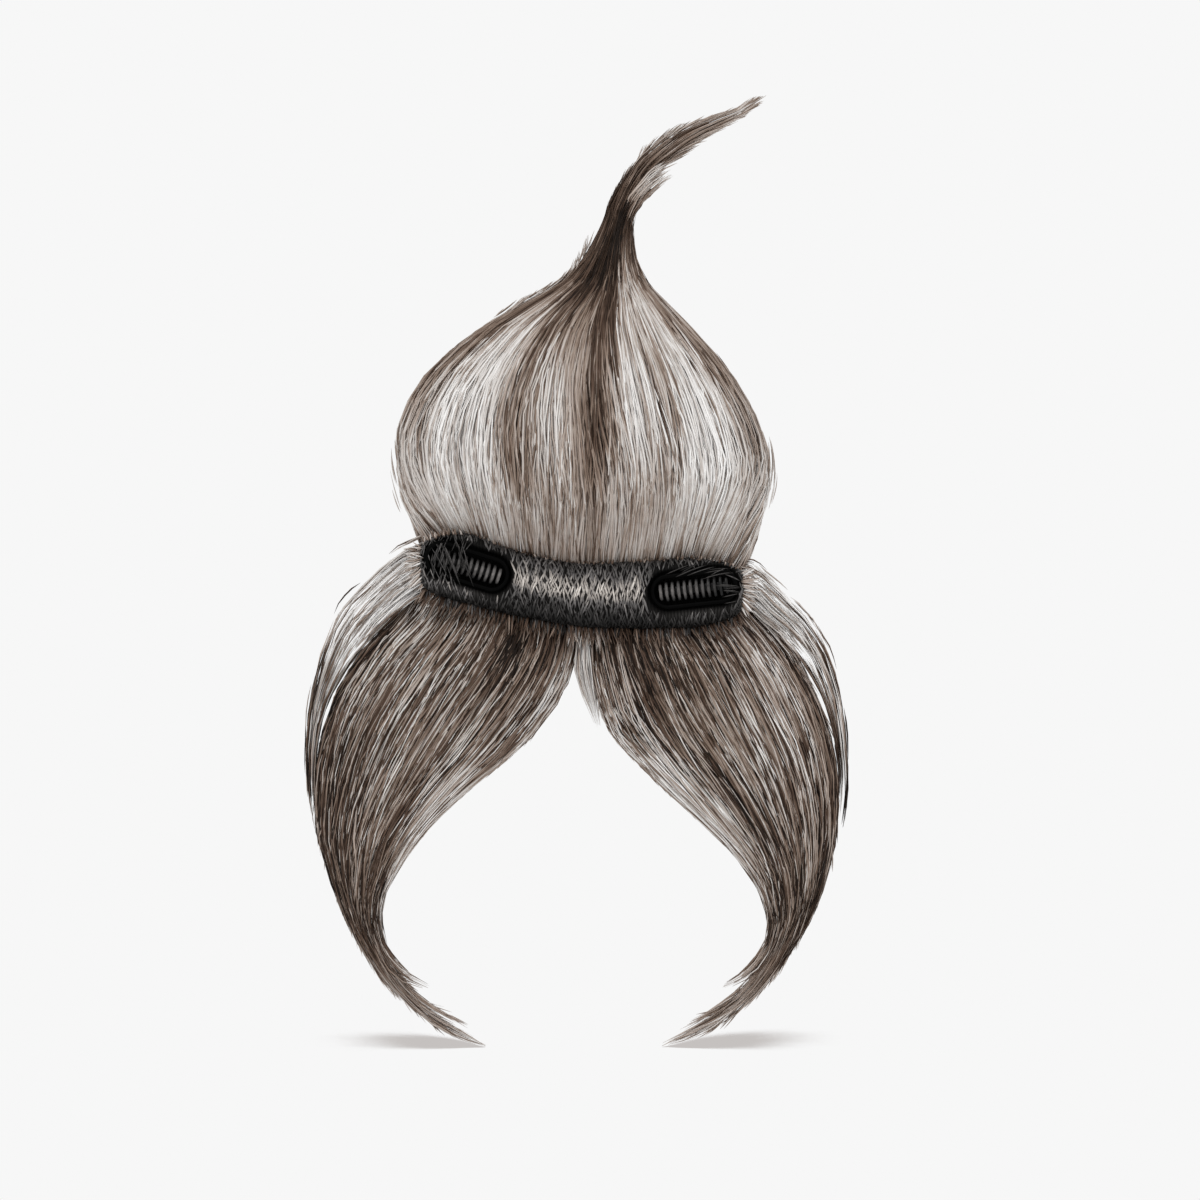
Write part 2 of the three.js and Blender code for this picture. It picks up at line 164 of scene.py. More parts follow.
# Loose wisps from root to tip: the line that each follows and its half width and half depth.
WISP = "x y z half_width half_depth"
TIP_WISP_LEFT = table(WISP, [
    (-71.0, 6.5, -112.0, 2.4, 2.2),
    (-66.5, 3.5, -121.0, 2.4, 1.9),
    (-60.0, 0.5, -127.8, 2.0, 1.4),
    (-50.5, -2.5, -131.8, 0.7, 0.5),
])
TIP_WISP_RIGHT = table(WISP, [
    (66.0, 6.5, -112.5, 2.4, 2.2),
    (61.5, 3.5, -121.0, 2.4, 1.9),
    (55.5, 0.5, -127.4, 2.0, 1.4),
    (46.5, -2.5, -131.8, 0.7, 0.5),
])
BRUSH_LEFT = table(WISP, [
    (-61.5, 2.0, -129.0, 1.6, 1.8),
    (-55.5, 0.0, -135.6, 1.8, 1.6),
    (-48.0, -3.0, -140.6, 1.7, 1.2),
    (-39.5, -6.0, -144.2, 1.5, 0.6),
])
POINT_LEFT = table(WISP, [
    (-57.0, 0.0, -136.5, 1.8, 2.0),
    (-48.5, -3.5, -142.8, 1.8, 1.8),
    (-40.0, -6.5, -147.0, 1.5, 1.4),
    (-32.0, -9.0, -149.8, 0.5, 0.5),
])
BRUSH_RIGHT = table(WISP, [
    (57.0, 2.0, -129.0, 1.6, 1.8),
    (51.0, 0.0, -135.6, 1.8, 1.6),
    (43.5, -3.0, -140.6, 1.7, 1.2),
    (35.0, -6.0, -144.2, 1.5, 0.6),
])
POINT_RIGHT = table(WISP, [
    (52.5, 0.0, -136.5, 1.8, 2.0),
    (44.0, -3.5, -142.8, 1.8, 1.8),
    (35.0, -6.5, -147.0, 1.5, 1.4),
    (26.5, -9.0, -149.8, 0.5, 0.5),
])
CURL_WISP = table(WISP, [
    (13.4, 10.0, 121.0, 2.4, 2.4),
    (17.2, 8.5, 131.0, 3.0, 2.2),
    (23.6, 7.5, 138.0, 3.0, 1.6),
    (29.4, 7.0, 142.0, 3.0, 0.5),
])
BACK_WISP = table(WISP, [
    (0.0, 23.5, 2.5, 5.0, 1.2),
    (0.3, 23.8, -3.0, 5.0, 1.2),
    (0.8, 23.0, -12.0, 4.0, 1.2),
    (2.0, 21.5, -24.0, 1.5, 0.5),
])
CENTRE_WISP = table(WISP, [
    (1.4, 15.0, -8.0, 3.0, 3.0),
    (0.6, 12.5, -17.0, 3.2, 2.6),
    (1.0, 11.0, -27.5, 3.2, 2.2),
    (5.4, 10.0, -45.0, 0.8, 0.5),
])


# Shapes shared by the solids and the looks.
def smooth(column, position):
    """A smooth value of a column, part of the way between rows (Catmull-Rom)."""
    last = len(column) - 1
    i = np.clip(np.floor(position).astype(int), 0, last - 1)
    t = position - i
    p, q, r, s = (column[np.clip(i + k, 0, last)] for k in (-1, 0, 1, 2))
    slope_q = (r - p) / 2
    slope_r = (s - q) / 2
    bend = 2 * (q - r) + slope_q + slope_r
    return q + t * (slope_q + t * (3 * (r - q) - 2 * slope_q - slope_r + t * bend))


def step(low, high, value):
    """0 below low, 1 above high, and a smooth rise between them."""
    t = np.clip((value - low) / (high - low), 0, 1)
    return t * t * (3 - 2 * t)


def squarish(wave, squareness):
    """A sine or cosine drawn towards the corners of a square, more so for a smaller squareness."""
    return np.sign(wave) * np.abs(wave) ** squareness


def line_point(rows, position):
    """Points of a line that is given by its x, y and z columns."""
    return np.stack([smooth(rows[name], position) for name in "xyz"], -1)


def along_band(column, x):
    """A size of the band at places along it."""
    inside = np.clip(x, -BAND_HALF_LENGTH, BAND_HALF_LENGTH)
    return smooth(BAND[column], np.interp(inside, BAND["x"], np.arange(len(BAND["x"]))))


def band_middle(x):
    """The height of the band's middle at places along it."""
    return (along_band("top", x) + along_band("bottom", x)) / 2


def band_face(x):
    """The Y of the band's inner face, whose ends come forward."""
    return -BAND_END_FORWARD * (x / BAND_HALF_LENGTH) ** 2


def band_surface(x, turn, lift):
    """Points of the band: turn goes round it, from 0 at its inner face, up over its top edge."""
    share = np.clip(np.abs(x) / BAND_HALF_LENGTH, 0, 1)
    fullness = (1 - share ** BAND_END_FULLNESS) ** BAND_END_ROUNDING
    fullness = np.maximum(fullness, BAND_END_FACE)
    up = squarish(np.sin(turn), BAND_SQUARENESS)
    front = squarish(np.cos(turn), BAND_SQUARENESS)
    half_height = (along_band("top", x) - along_band("bottom", x)) / 2 * fullness + lift
    half_depth = BAND_DEPTH / 2 * fullness + lift
    y = band_face(x) + BAND_DEPTH / 2 - half_depth * front
    return np.stack([x + 0 * y, y, band_middle(x) + half_height * up], -1)


def clip_slope(middle_x):
    """The turn of a clip about Z, with which it follows the curve of the band's face."""
    return math.atan2(-2 * BAND_END_FORWARD * middle_x, BAND_HALF_LENGTH ** 2)


def out_of_clip(clip, x, z):
    """How far outside a clip's outline places on the band's face are."""
    middle_x, middle_z, lean = clip[1:]
    turn = math.radians(lean)
    dx = (x - middle_x) / math.cos(clip_slope(middle_x))
    dz = z - middle_z
    along = dx * math.cos(turn) + dz * math.sin(turn)
    across = dz * math.cos(turn) - dx * math.sin(turn)
    past = np.maximum(np.abs(along) - (CLIP_LENGTH - CLIP_WIDTH) / 2, 0)
    return np.hypot(past, across) - CLIP_WIDTH / 2


def on_clip(clip, along, across, out):
    """Places given along and across a clip and out of its face, in the part's own frame."""
    middle_x, middle_z, lean = clip[1:]
    slope = clip_slope(middle_x)
    turn = math.radians(lean)
    right = along * math.cos(turn) - across * math.sin(turn)
    up = along * math.sin(turn) + across * math.cos(turn)
    x = middle_x + right * math.cos(slope) + out * math.sin(slope)
    y = band_face(middle_x) + right * math.sin(slope) - out * math.cos(slope)
    return np.stack([x, y, middle_z + up], -1)


def bundle_point(rows, position, angle, radius, shift=0):
    """Points of a hair bundle: position counts rows, and angle runs from 0 at its front to the right."""
    at = {name: smooth(column, position) for name, column in rows.items()}
    side = radius * np.sin(angle) + shift
    x = (at["left_x"] + at["right_x"]) / 2 + (at["right_x"] - at["left_x"]) / 2 * side
    z = (at["left_z"] + at["right_z"]) / 2 + (at["right_z"] - at["left_z"]) / 2 * side
    y = at["y"] - radius * np.cos(angle) * at["half_depth"]
    return np.stack([x, y + at["follow"] * band_face(x), z + at["follow"] * band_middle(x)], -1)


FRONT = np.array((0.0, -1.0, 0.0))  # out of the band's inner face
NEAR = 0.05  # rows to either side of a place, for the way that its line runs


def wisp_point(rows, position, across, front):
    """Points of a wisp: across and front are shares of its half width and half depth."""
    way = line_point(rows, position + NEAR) - line_point(rows, position - NEAR)
    sideways = np.cross(way, FRONT)
    sideways /= np.linalg.norm(sideways, axis=-1, keepdims=True)
    width = (across * smooth(rows["half_width"], position))[..., None]
    depth = (front * smooth(rows["half_depth"], position))[..., None]
    return line_point(rows, position) + sideways * width + FRONT * depth


# Materials.
def linear(colour):
    """An sRGB hex colour as linear numbers with an alpha of 1."""
    shares = [int(colour[i:i + 2], 16) / 255 for i in (1, 3, 5)]
    return [c / 12.92 if c <= 0.04045 else ((c + 0.055) / 1.055) ** 2.4 for c in shares] + [1.0]


def add(tree, kind, inputs, stops=(), **settings):
    """Adds a node. An input that is a socket is linked, and any other is set. Stops fill a colour ramp."""
    made = tree.nodes.new("ShaderNode" + kind)
    for name, value in settings.items():
        setattr(made, name, value)
    for name, value in inputs.items():
        if isinstance(value, bpy.types.NodeSocket):
            tree.links.new(value, made.inputs[name])
        else:
            made.inputs[name].default_value = value
    for i, (place, colour) in enumerate(stops):
        elements = made.color_ramp.elements
        element = elements[i] if i < 2 else elements.new(place)
        element.position = place
        element.color = linear(colour)
    return made


def new_material(name, **inputs):
    """A material with one Principled shader, whose constant inputs are given by name."""
    material = bpy.data.materials.new(name)
    material.use_nodes = True
    surface = material.node_tree.nodes["Principled BSDF"]
    for socket, value in inputs.items():
        surface.inputs[socket.replace("_", " ")].default_value = value
    return material, material.node_tree, surface


def colour_by_tone(tree, surface, pattern, stops, low, high, span=(0.0, 1.0)):
    """The base colour by the tone of each place, which a pattern changes from low to high over its span."""
    tone = add(tree, "Attribute", {}, attribute_name="tone").outputs["Fac"]
    vary = add(tree, "MapRange", {"Value": pattern, "From Min": span[0], "From Max": span[1],
                                  "To Min": low, "To Max": high})
    varied = add(tree, "Math", {0: tone, 1: vary.outputs["Result"]}, operation="ADD", use_clamp=True)
    colour = add(tree, "ValToRGB", {"Fac": varied.outputs["Value"]}, stops)
    tree.links.new(colour.outputs["Color"], surface.inputs["Base Color"])


HAIR_STOPS = [  # tone and colour, with both ends of the ramp first
    (0.0, "#180e07"), (1.0, "#f2f0ee"), (0.14, "#302116"), (0.3, "#5b483c"), (0.45, "#8a786b"),
    (0.6, "#b1a399"), (0.78, "#d1cbc6"),
]
HAIR_GRAIN = 3.0  # mm between lighter and darker places along a strand
STREAKS_ROUND = 260  # fibres round a bundle that the body under the strands shows
STREAKS_ALONG = 9.0  # changes of tone along each of them


def hair_fibre(name):
    """Heat-set synthetic hair: grey-brown fibres with a soft gloss, darker as painted shade in valleys and
    deeper down.
    """
    material, tree, surface = new_material(name, Roughness=0.55, IOR=1.5, Specular_IOR_Level=0.2)
    place = add(tree, "TexCoord", {}).outputs["Object"]
    grain = add(tree, "TexNoise", {"Vector": place, "Scale": 1 / (HAIR_GRAIN * MM), "Detail": 2.0})
    colour_by_tone(tree, surface, grain.outputs["Fac"], HAIR_STOPS, -0.06, 0.06)
    return material


def packed_hair(name):
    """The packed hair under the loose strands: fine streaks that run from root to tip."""
    material, tree, surface = new_material(name, Roughness=0.7, IOR=1.5, Specular_IOR_Level=0.1)
    way = add(tree, "UVMap", {}, uv_map="growth").outputs["UV"]
    scaled = add(tree, "Mapping", {"Vector": way, "Scale": (STREAKS_ROUND, STREAKS_ALONG, 1.0)})
    streak = add(tree, "TexNoise", {"Vector": scaled.outputs["Vector"], "Scale": 1.0, "Detail": 3.0,
                                    "Roughness": 0.6}).outputs["Fac"]
    colour_by_tone(tree, surface, streak, HAIR_STOPS, -0.2, 0.14, (0.3, 0.7))
    bump = add(tree, "Bump", {"Height": streak, "Strength": 0.5, "Distance": 0.4 * MM})
    tree.links.new(bump.outputs["Normal"], surface.inputs["Normal"])
    return material


THREAD_STOPS = [  # tone and colour, with both ends of the ramp first
    (0.0, "#060606"), (1.0, "#e4ddd6"), (0.2, "#191817"), (0.4, "#3c3a39"), (0.6, "#6f6c6b"),
    (0.8, "#aaa39d"),
]
THREAD_TWIST = 0.8  # mm from turn to turn of a thread
COVER_PITCH = 1.1  # mm between the ribs of the padding's cover
WAVE_LENGTH = 0.314  # of a wave texture with a scale of 1


def netted_thread(name):
    """Waxed polyester thread: charcoal with a dull gloss; its tone carries the painted highlight and painted
    shade.
    """
    material, tree, surface = new_material(name, Roughness=0.5, IOR=1.5, Specular_IOR_Level=0.25)
    place = add(tree, "TexCoord", {}).outputs["Object"]
    twist = add(tree, "TexNoise", {"Vector": place, "Scale": 1 / (THREAD_TWIST * MM), "Detail": 1.0})
    colour_by_tone(tree, surface, twist.outputs["Fac"], THREAD_STOPS, -0.1, 0.1)
    return material


def padding_cover(name):
    """Black tricot over the padding, seen between the threads of the net: matt, finely ribbed."""
    material, tree, surface = new_material(name, Roughness=0.9, IOR=1.45, Specular_IOR_Level=0.1)
    place = add(tree, "TexCoord", {}).outputs["Object"]
    ribs = add(tree, "TexWave", {"Vector": place, "Scale": WAVE_LENGTH / (COVER_PITCH * MM),
                                 "Distortion": 2.0, "Detail": 2.0}, bands_direction="X").outputs["Fac"]
    colour_by_tone(tree, surface, ribs, THREAD_STOPS, -0.06, 0.06)
    bump = add(tree, "Bump", {"Height": ribs, "Strength": 0.6, "Distance": 0.2 * MM})
    tree.links.new(bump.outputs["Normal"], surface.inputs["Normal"])
    return material


FINGER_MARKS = 4.0  # mm between duller places of the enamel
RUBBER_GRAIN = 1.2  # mm of the grain that breaks up the painted crest highlight and the rubber's roughness


def black_enamel(name):
    """Baked black enamel on spring steel: glossy, with faint dulling where fingers press it."""
    material, tree, surface = new_material(name, Base_Color=linear("#020202"), Metallic=0.0, IOR=1.5,
                                           Specular_IOR_Level=0.03)
    place = add(tree, "TexCoord", {}).outputs["Object"]
    wear = add(tree, "TexNoise", {"Vector": place, "Scale": 1 / (FINGER_MARKS * MM), "Detail": 3.0})
    rough = add(tree, "MapRange", {"Value": wear.outputs["Fac"], "To Min": 0.35, "To Max": 0.55})
    tree.links.new(rough.outputs["Result"], surface.inputs["Roughness"])
    return material


def grip_rubber(name):
    """Moulded black rubber on the comb's ribs: satin, with a painted highlight on the crests of the ribs."""
    material, tree, surface = new_material(name, IOR=1.5, Specular_IOR_Level=0.25)
    tone = add(tree, "Attribute", {}, attribute_name="tone").outputs["Fac"]
    place = add(tree, "TexCoord", {}).outputs["Object"]
    wear = add(tree, "TexNoise", {"Vector": place, "Scale": 1 / (RUBBER_GRAIN * MM), "Detail": 4.0})
    # Painted highlight: the crests' tone, broken up by the grain.
    crest_highlight = add(tree, "Math", {0: tone, 1: wear.outputs["Fac"]}, operation="MULTIPLY")
    colour = add(tree, "ValToRGB", {"Fac": crest_highlight.outputs["Value"]}, [(0.05, "#0a0909"), (0.6, "#7c7876")])
    tree.links.new(colour.outputs["Color"], surface.inputs["Base Color"])
    rough = add(tree, "MapRange", {"Value": wear.outputs["Fac"], "To Min": 0.25, "To Max": 0.45})
    tree.links.new(rough.outputs["Result"], surface.inputs["Roughness"])
    return material


# Ways to make a piece.
def finish_piece(name, mesh, material, replaced=()):
    """An object at the origin that rides on the part and the solids it stands for."""
    piece = bpy.data.objects.new(name, mesh)
    bpy.context.scene.collection.objects.link(piece)
    mesh.materials.append(material)
    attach(piece, BODY)
    if replaced:
        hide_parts(*replaced)
    return piece


def smooth_mesh(name, form):
    """The mesh of a finished bmesh, with its faces turned outwards and shaded smooth."""
    bmesh.ops.recalc_face_normals(form, faces=form.faces)
    mesh = bpy.data.meshes.new(name)
    form.to_mesh(mesh)
    form.free()
    mesh.shade_smooth()
    return mesh


def bent_grid(name, around, along, place, tone=None):
    """A grid bent into a closed form: place(turn, way) gives the point for two shares from 0 to 1."""
    form = bmesh.new()
    bmesh.ops.create_grid(form, x_segments=around, y_segments=along, size=0.5)
    growth = form.loops.layers.uv.new("growth")
    tones = form.verts.layers.float.new("tone")
    verts = list(form.verts)
    share = np.array([vert.co for vert in verts])[:, :2] + 0.5
    points = place(share[:, 0], share[:, 1]) * MM
    shades = tone(share[:, 0], share[:, 1]) if tone else np.zeros(len(verts))
    for vert, point, shade, (turn, way) in zip(verts, points, shades, share):
        vert.co = point
        vert[tones] = shade
        for loop in vert.link_loops:
            loop[growth].uv = (turn, way)
    bmesh.ops.remove_doubles(form, verts=form.verts, dist=1e-6)
    open_edges = [edge for edge in form.edges if edge.is_boundary]
    if open_edges:
        bmesh.ops.holes_fill(form, edges=open_edges, sides=0)
    return smooth_mesh(name, form)


CORNERS = 3  # of a strand's section
CELL_COLUMNS = 64  # columns of strands on the map that the bake uses
CELL_FILL = 0.9  # share of its cell that the sides of a strand take up, and the margin round them
CELL_MARGIN = 0.05
CAP_ACROSS = [0.3, 0.7, 0.5]  # corners of a strand's two end faces in its cell, below and above the sides
CAP_UP = [[0.01, 0.01, 0.04], [0.96, 0.96, 0.99]]


def map_strands(mesh, count, rings):
    """Gives each strand a cell of its own on the map for the bake, with its sides beside each other."""
    rows = -(-count // CELL_COLUMNS)
    column, row = np.arange(count) % CELL_COLUMNS, np.arange(count) // CELL_COLUMNS
    edge = (np.arange(CORNERS)[:, None] + np.array([0, 1, 1, 0])) / CORNERS * CELL_FILL + CELL_MARGIN
    height = (np.arange(rings - 1)[:, None] + np.array([0, 0, 1, 1])) / (rings - 1) * CELL_FILL + CELL_MARGIN
    u = (column[:, None, None, None] + edge[None, None]) / CELL_COLUMNS
    v = (row[:, None, None, None] + height[None, :, None]) / rows
    side_map = np.stack(np.broadcast_arrays(u, v), -1).reshape(-1, 2)
    cap_u = (column[:, None, None] + np.array(CAP_ACROSS)) / CELL_COLUMNS
    cap_v = (row[:, None, None] + np.array(CAP_UP)) / rows
    cap_map = np.stack(np.broadcast_arrays(cap_u, cap_v), -1).reshape(-1, 2)
    layer = mesh.uv_layers.new(name="OFBake")
    layer.uv.foreach_set("vector", np.concatenate([side_map, cap_map]).astype(np.float32).ravel())


def strand_mesh(name, path, width, tone):
    """Joined closed tubes that taper: path is (strand, ring, xyz) in mm, width and tone (strand, ring)."""
    count, rings = width.shape
    way = np.gradient(path, axis=1)
    way /= np.maximum(np.linalg.norm(way, axis=-1, keepdims=True), 1e-9)
    aside = random.normal(size=(count, 1, 3))
    aside = aside - (aside * way).sum(-1, keepdims=True) * way
    aside /= np.linalg.norm(aside, axis=-1, keepdims=True)
    other = np.cross(way, aside)
    turn = np.arange(CORNERS) * (2 * math.pi / CORNERS)
    ring = np.cos(turn)[:, None] * aside[:, :, None] + np.sin(turn)[:, None] * other[:, :, None]
    points = path[:, :, None] + ring * (width / 2)[..., None, None]

    index = np.arange(count * rings * CORNERS).reshape(count, rings, CORNERS)
    following = np.roll(index, -1, axis=2)
    sides = np.stack([index[:, :-1], following[:, :-1], following[:, 1:], index[:, 1:]], -1)
    ends = np.stack([index[:, 0, ::-1], index[:, -1]], 1)
    corners = np.concatenate([sides.reshape(-1), ends.reshape(-1)])
    side_count, end_count = sides.size // 4, ends.size // 3
    starts = np.concatenate([np.arange(side_count) * 4, side_count * 4 + np.arange(end_count) * 3])

    mesh = bpy.data.meshes.new(name)
    mesh.vertices.add(points.size // 3)
    mesh.vertices.foreach_set("co", (points * MM).astype(np.float32).ravel())
    mesh.loops.add(len(corners))
    mesh.loops.foreach_set("vertex_index", corners.astype(np.int32))
    mesh.polygons.add(len(starts))
    mesh.polygons.foreach_set("loop_start", starts.astype(np.int32))
    mesh.update(calc_edges=True)
    mesh.shade_smooth()
    shown = np.repeat(np.clip(tone, 0, 1), CORNERS, axis=1)
    shades = mesh.attributes.new("tone", "FLOAT", "POINT")
    shades.data.foreach_set("value", shown.astype(np.float32).ravel())
    map_strands(mesh, count, rings)
    return mesh


def joined(lots):
    """Several lots of strands as one, column by column."""
    return [np.concatenate(column) for column in zip(*lots)]


THIN_END = 0.12  # width of a strand's ends, as a share of its full width


def taper(rings, root, tip):
    """Shares of full width along a strand that thins over its root and tip shares of its length."""
    t = np.linspace(0, 1, rings)
    return np.clip(np.minimum(t / root, (1 - t) / tip), 0, 1) ** 0.7 * (1 - THIN_END) + THIN_END


QUICKER = 3.3  # waves of the quicker waver for each slow one


def waver(count, rings, reach, slow, fast):
    """A random sideways waver for each strand: one slow wave and a quicker, smaller one."""
    t = np.linspace(0, 1, rings)
    phase = random.uniform(0, 2 * math.pi, (2, count, 1))
    rate = random.uniform(0.6, 1.4, (2, count, 1)) * 2 * math.pi
    slow_wave = slow * np.sin(rate[0] * reach * t + phase[0])
    return slow_wave + fast * np.sin(QUICKER * rate[1] * reach * t + phase[1])


# How light the hair is: a base from root to tip by row, and streaks across it.
STREAK_START = 1.2  # rows over which a streak comes in, and goes out again
STREAK_END = 1.5
CROWN_BASE = [(0, 0.3), (0.8, 0.58), (1.3, 0.8), (2, 0.81), (3, 0.9), (5, 0.93), (6, 0.89), (7, 0.71),
              (8, 0.31), (9, 0.18), (10, 0.16), (11, 0.39), (12, 0.39), (13, 0.56), (14, 0.68)]
STREAK = "middle width change start end"
CROWN_STREAKS = table(STREAK, [
    (-1.00, 0.13, -0.52, 3.4, 6.9),
    (-0.84, 0.12, -0.54, 5.0, 8.4),
    (-0.94, 0.10, -0.14, 0.8, 5.0),
    (-0.60, 0.10, -0.22, 6.0, 8.6),
    (-0.55, 0.06, -0.13, 3.2, 6.6),
    (-0.34, 0.11, -0.50, 1.5, 7.2),
    (-0.42, 0.14, -0.42, 6.0, 8.8),
    (-0.15, 0.25, -0.40, 5.0, 9.2),
    (-0.18, 0.12, -0.16, 1.0, 3.6),
    (-0.05, 0.08, -0.28, 1.5, 6.6),
    (0.06, 0.08, -0.30, 1.0, 5.4),
    (0.14, 0.10, -0.50, 2.4, 7.8),
    (0.24, 0.09, -0.34, 4.6, 8.4),
    (0.28, 0.10, -0.26, 1.0, 3.8),
    (0.45, 0.09, -0.18, 1.2, 4.8),
    (0.54, 0.06, -0.50, 3.0, 7.6),
    (0.62, 0.15, 0.26, 6.4, 9.0),
    (0.74, 0.09, 0.12, 1.6, 5.0),
    (0.86, 0.08, -0.60, 4.8, 7.8),
    (1.00, 0.12, -0.41, 2.8, 7.0),
    (0.90, 0.10, -0.18, 0.8, 4.6),
    (0.34, 0.11, -0.30, 7.2, 9.6),
    (-0.40, 0.20, 0.12, 8.2, 10.6),
    (0.00, 0.35, -0.10, 0.4, 3.0),
    (0.12, 0.24, -0.36, 7.6, 10.6),
])
# The locks are darker at their roots as painted shadow of the band.
LOCK_BASE = [(0, 0.25), (0.9, 0.3), (1.8, 0.34), (3, 0.42), (5, 0.42), (7, 0.33), (9, 0.28), (11, 0.5),
             (12.5, 0.68), (13, 0.75)]
BOTH_LOCKS = [
    (-0.98, 0.06, -0.18, 1.0, 5.4),
    (-0.70, 0.20, 0.24, 0.0, 4.2),
    (-0.80, 0.25, -0.12, 4.5, 9.0),
    (-0.25, 0.12, 0.14, 2.0, 7.0),
    (-0.05, 0.05, -0.12, 1.0, 3.2),
    (0.35, 0.12, -0.22, 0.2, 3.4),
    (0.31, 0.08, -0.22, 3.6, 7.0),
    (0.50, 0.09, 0.20, 3.8, 8.2),
    (0.72, 0.15, 0.24, 2.6, 8.2),
    (0.66, 0.05, -0.14, 2.0, 4.2),
    (0.85, 0.04, -0.12, 2.0, 5.8),
    (0.96, 0.10, 0.38, 0.8, 9.0),
]
LOCK_STREAKS = {
    "left": table(STREAK, BOTH_LOCKS + [
        (-0.85, 0.09, -0.08, 3.0, 6.4),
        (0.30, 0.25, -0.10, -1.2, 2.4),
        (0.10, 0.80, 0.03, 2.4, 7.6),
        (-0.60, 0.45, 0.12, -0.8, 1.8),
        (-0.80, 0.12, -0.14, 6.2, 9.6),
        (-0.15, 0.16, -0.05, 2.8, 6.8),
        (-0.05, 0.06, -0.16, 7.0, 10.0),
        (0.26, 0.07, 0.16, 2.8, 5.6),
        (0.75, 0.07, 0.20, 4.4, 7.6),
        (0.65, 0.06, -0.20, 5.8, 8.4),
        (0.85, 0.07, -0.20, 2.0, 6.0),
        (0.90, 0.12, 0.22, 5.6, 9.6),
    ]),
    "right": table(STREAK, BOTH_LOCKS + [
        (-0.85, 0.07, -0.14, 0.2, 3.4),
        (0.58, 0.26, -0.14, -1.2, 2.4),
        (-0.70, 0.10, 0.14, 1.8, 4.4),
        (-0.30, 0.10, -0.14, 0.8, 3.4),
        (-0.30, 0.50, -0.05, 6.2, 9.8),
        (0.50, 0.13, -0.16, 0.0, 5.2),
        (0.46, 0.06, -0.20, 5.6, 8.4),
        (0.75, 0.07, 0.18, 4.8, 7.6),
        (0.85, 0.08, -0.18, 0.0, 4.0),
        (0.60, 0.08, 0.12, 4.2, 7.8),
        (0.96, 0.08, 0.15, 6.4, 9.8),
    ]),
}


def hair_tone(base, streaks, across, position):
    """How light the hair is, across a bundle from its left or outer edge and along it in rows."""
    rows, tones = zip(*base)
    tone = np.interp(position, rows, tones)
    for middle, width, change, start, end in zip(*streaks.values()):
        fades = step(start, start + STREAK_START, position) * (1 - step(end - STREAK_END, end, position))
        tone = tone + change * fades * np.exp(-((across - middle) / width) ** 2)
    return tone


RELIEF = 0.03  # depth of the valleys between a bundle's clumps, as a share of the bundle
VALLEY_PAINTED_SHADE = 0.06  # painted shade: by which those valleys are darker
BODY_RADIUS = 0.94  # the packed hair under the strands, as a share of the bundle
BODY_PAINTED_SHADE = 0.12  # painted shade by which it is darker than the strands on it
BODY_GRID = (120, 84)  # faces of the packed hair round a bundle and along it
TIP_ROWS = 4  # the rows at a bundle's tip where its strands come apart
# Towards its tip the core of the hair leaves the middle of its section, fills a share of it, and keeps
# only a share of the strands that end there.
TIP = "row shift reach kept"
CROWN_TIP = table(TIP, [
    (7.0, 0.0, 1.0, 1.0),
    (8.0, 0.06, 0.78, 1.0),
    (9.0, -0.02, 0.73, 1.0),
    (10.0, 0.06, 0.82, 1.0),
    (11.0, -0.1, 0.72, 0.9),
    (12.0, 0.04, 0.72, 0.72),
    (13.0, 0.44, 0.4, 0.34),
    (14.0, 0.1, 0.45, 0.3),
])
LOCK_TIP = table(TIP, [
    (7.0, 0.0, 1.0, 1.0),
    (8.0, -0.03, 0.96, 1.0),
    (9.0, -0.2, 0.82, 0.95),
    (10.0, -0.28, 0.76, 0.62),
    (11.0, -0.44, 0.66, 0.38),
    (12.0, -0.2, 1.0, 0.22),
    (13.0, 0.0, 1.0, 0.12),
])
TIP_CALM = 0.75  # share of the difference from strand to strand that is lost where they come apart
TIP_BODY = 0.2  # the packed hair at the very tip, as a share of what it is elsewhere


def valley(angle, clumps):
    """How deep in the valleys between clumps a place round a bundle is, from 0 on a crest to 1."""
    count = (angle + 0.09 * np.sin(3 * angle + 1)) / (2 * math.pi) * clumps
    return (2 * np.abs(count - np.round(count))) ** 2


def core_point(rows, tip, outer, position, angle, radius):
    """Points of a bundle's core, which leaves the middle of the bundle towards its tip."""
    shift = outer * np.interp(position, tip["row"], tip["shift"])
    return bundle_point(rows, position, angle, radius * np.interp(position, tip["row"], tip["reach"]), shift)


def half_width(rows, position):
    """Half the way from the left to the right edge of a bundle."""
    wide = smooth(rows["right_x"], position) - smooth(rows["left_x"], position)
    high = smooth(rows["right_z"], position) - smooth(rows["left_z"], position)
    return np.hypot(wide, high) / 2


def round_bundle(count, wide, deep):
    """Angles spread evenly round an ellipse."""
    grid = np.linspace(-math.pi, math.pi, 2000)
    share = np.cumsum(np.hypot(wide * np.cos(grid), deep * np.sin(grid)))
    return np.interp(random.uniform(0, share[-1], count), share, grid)


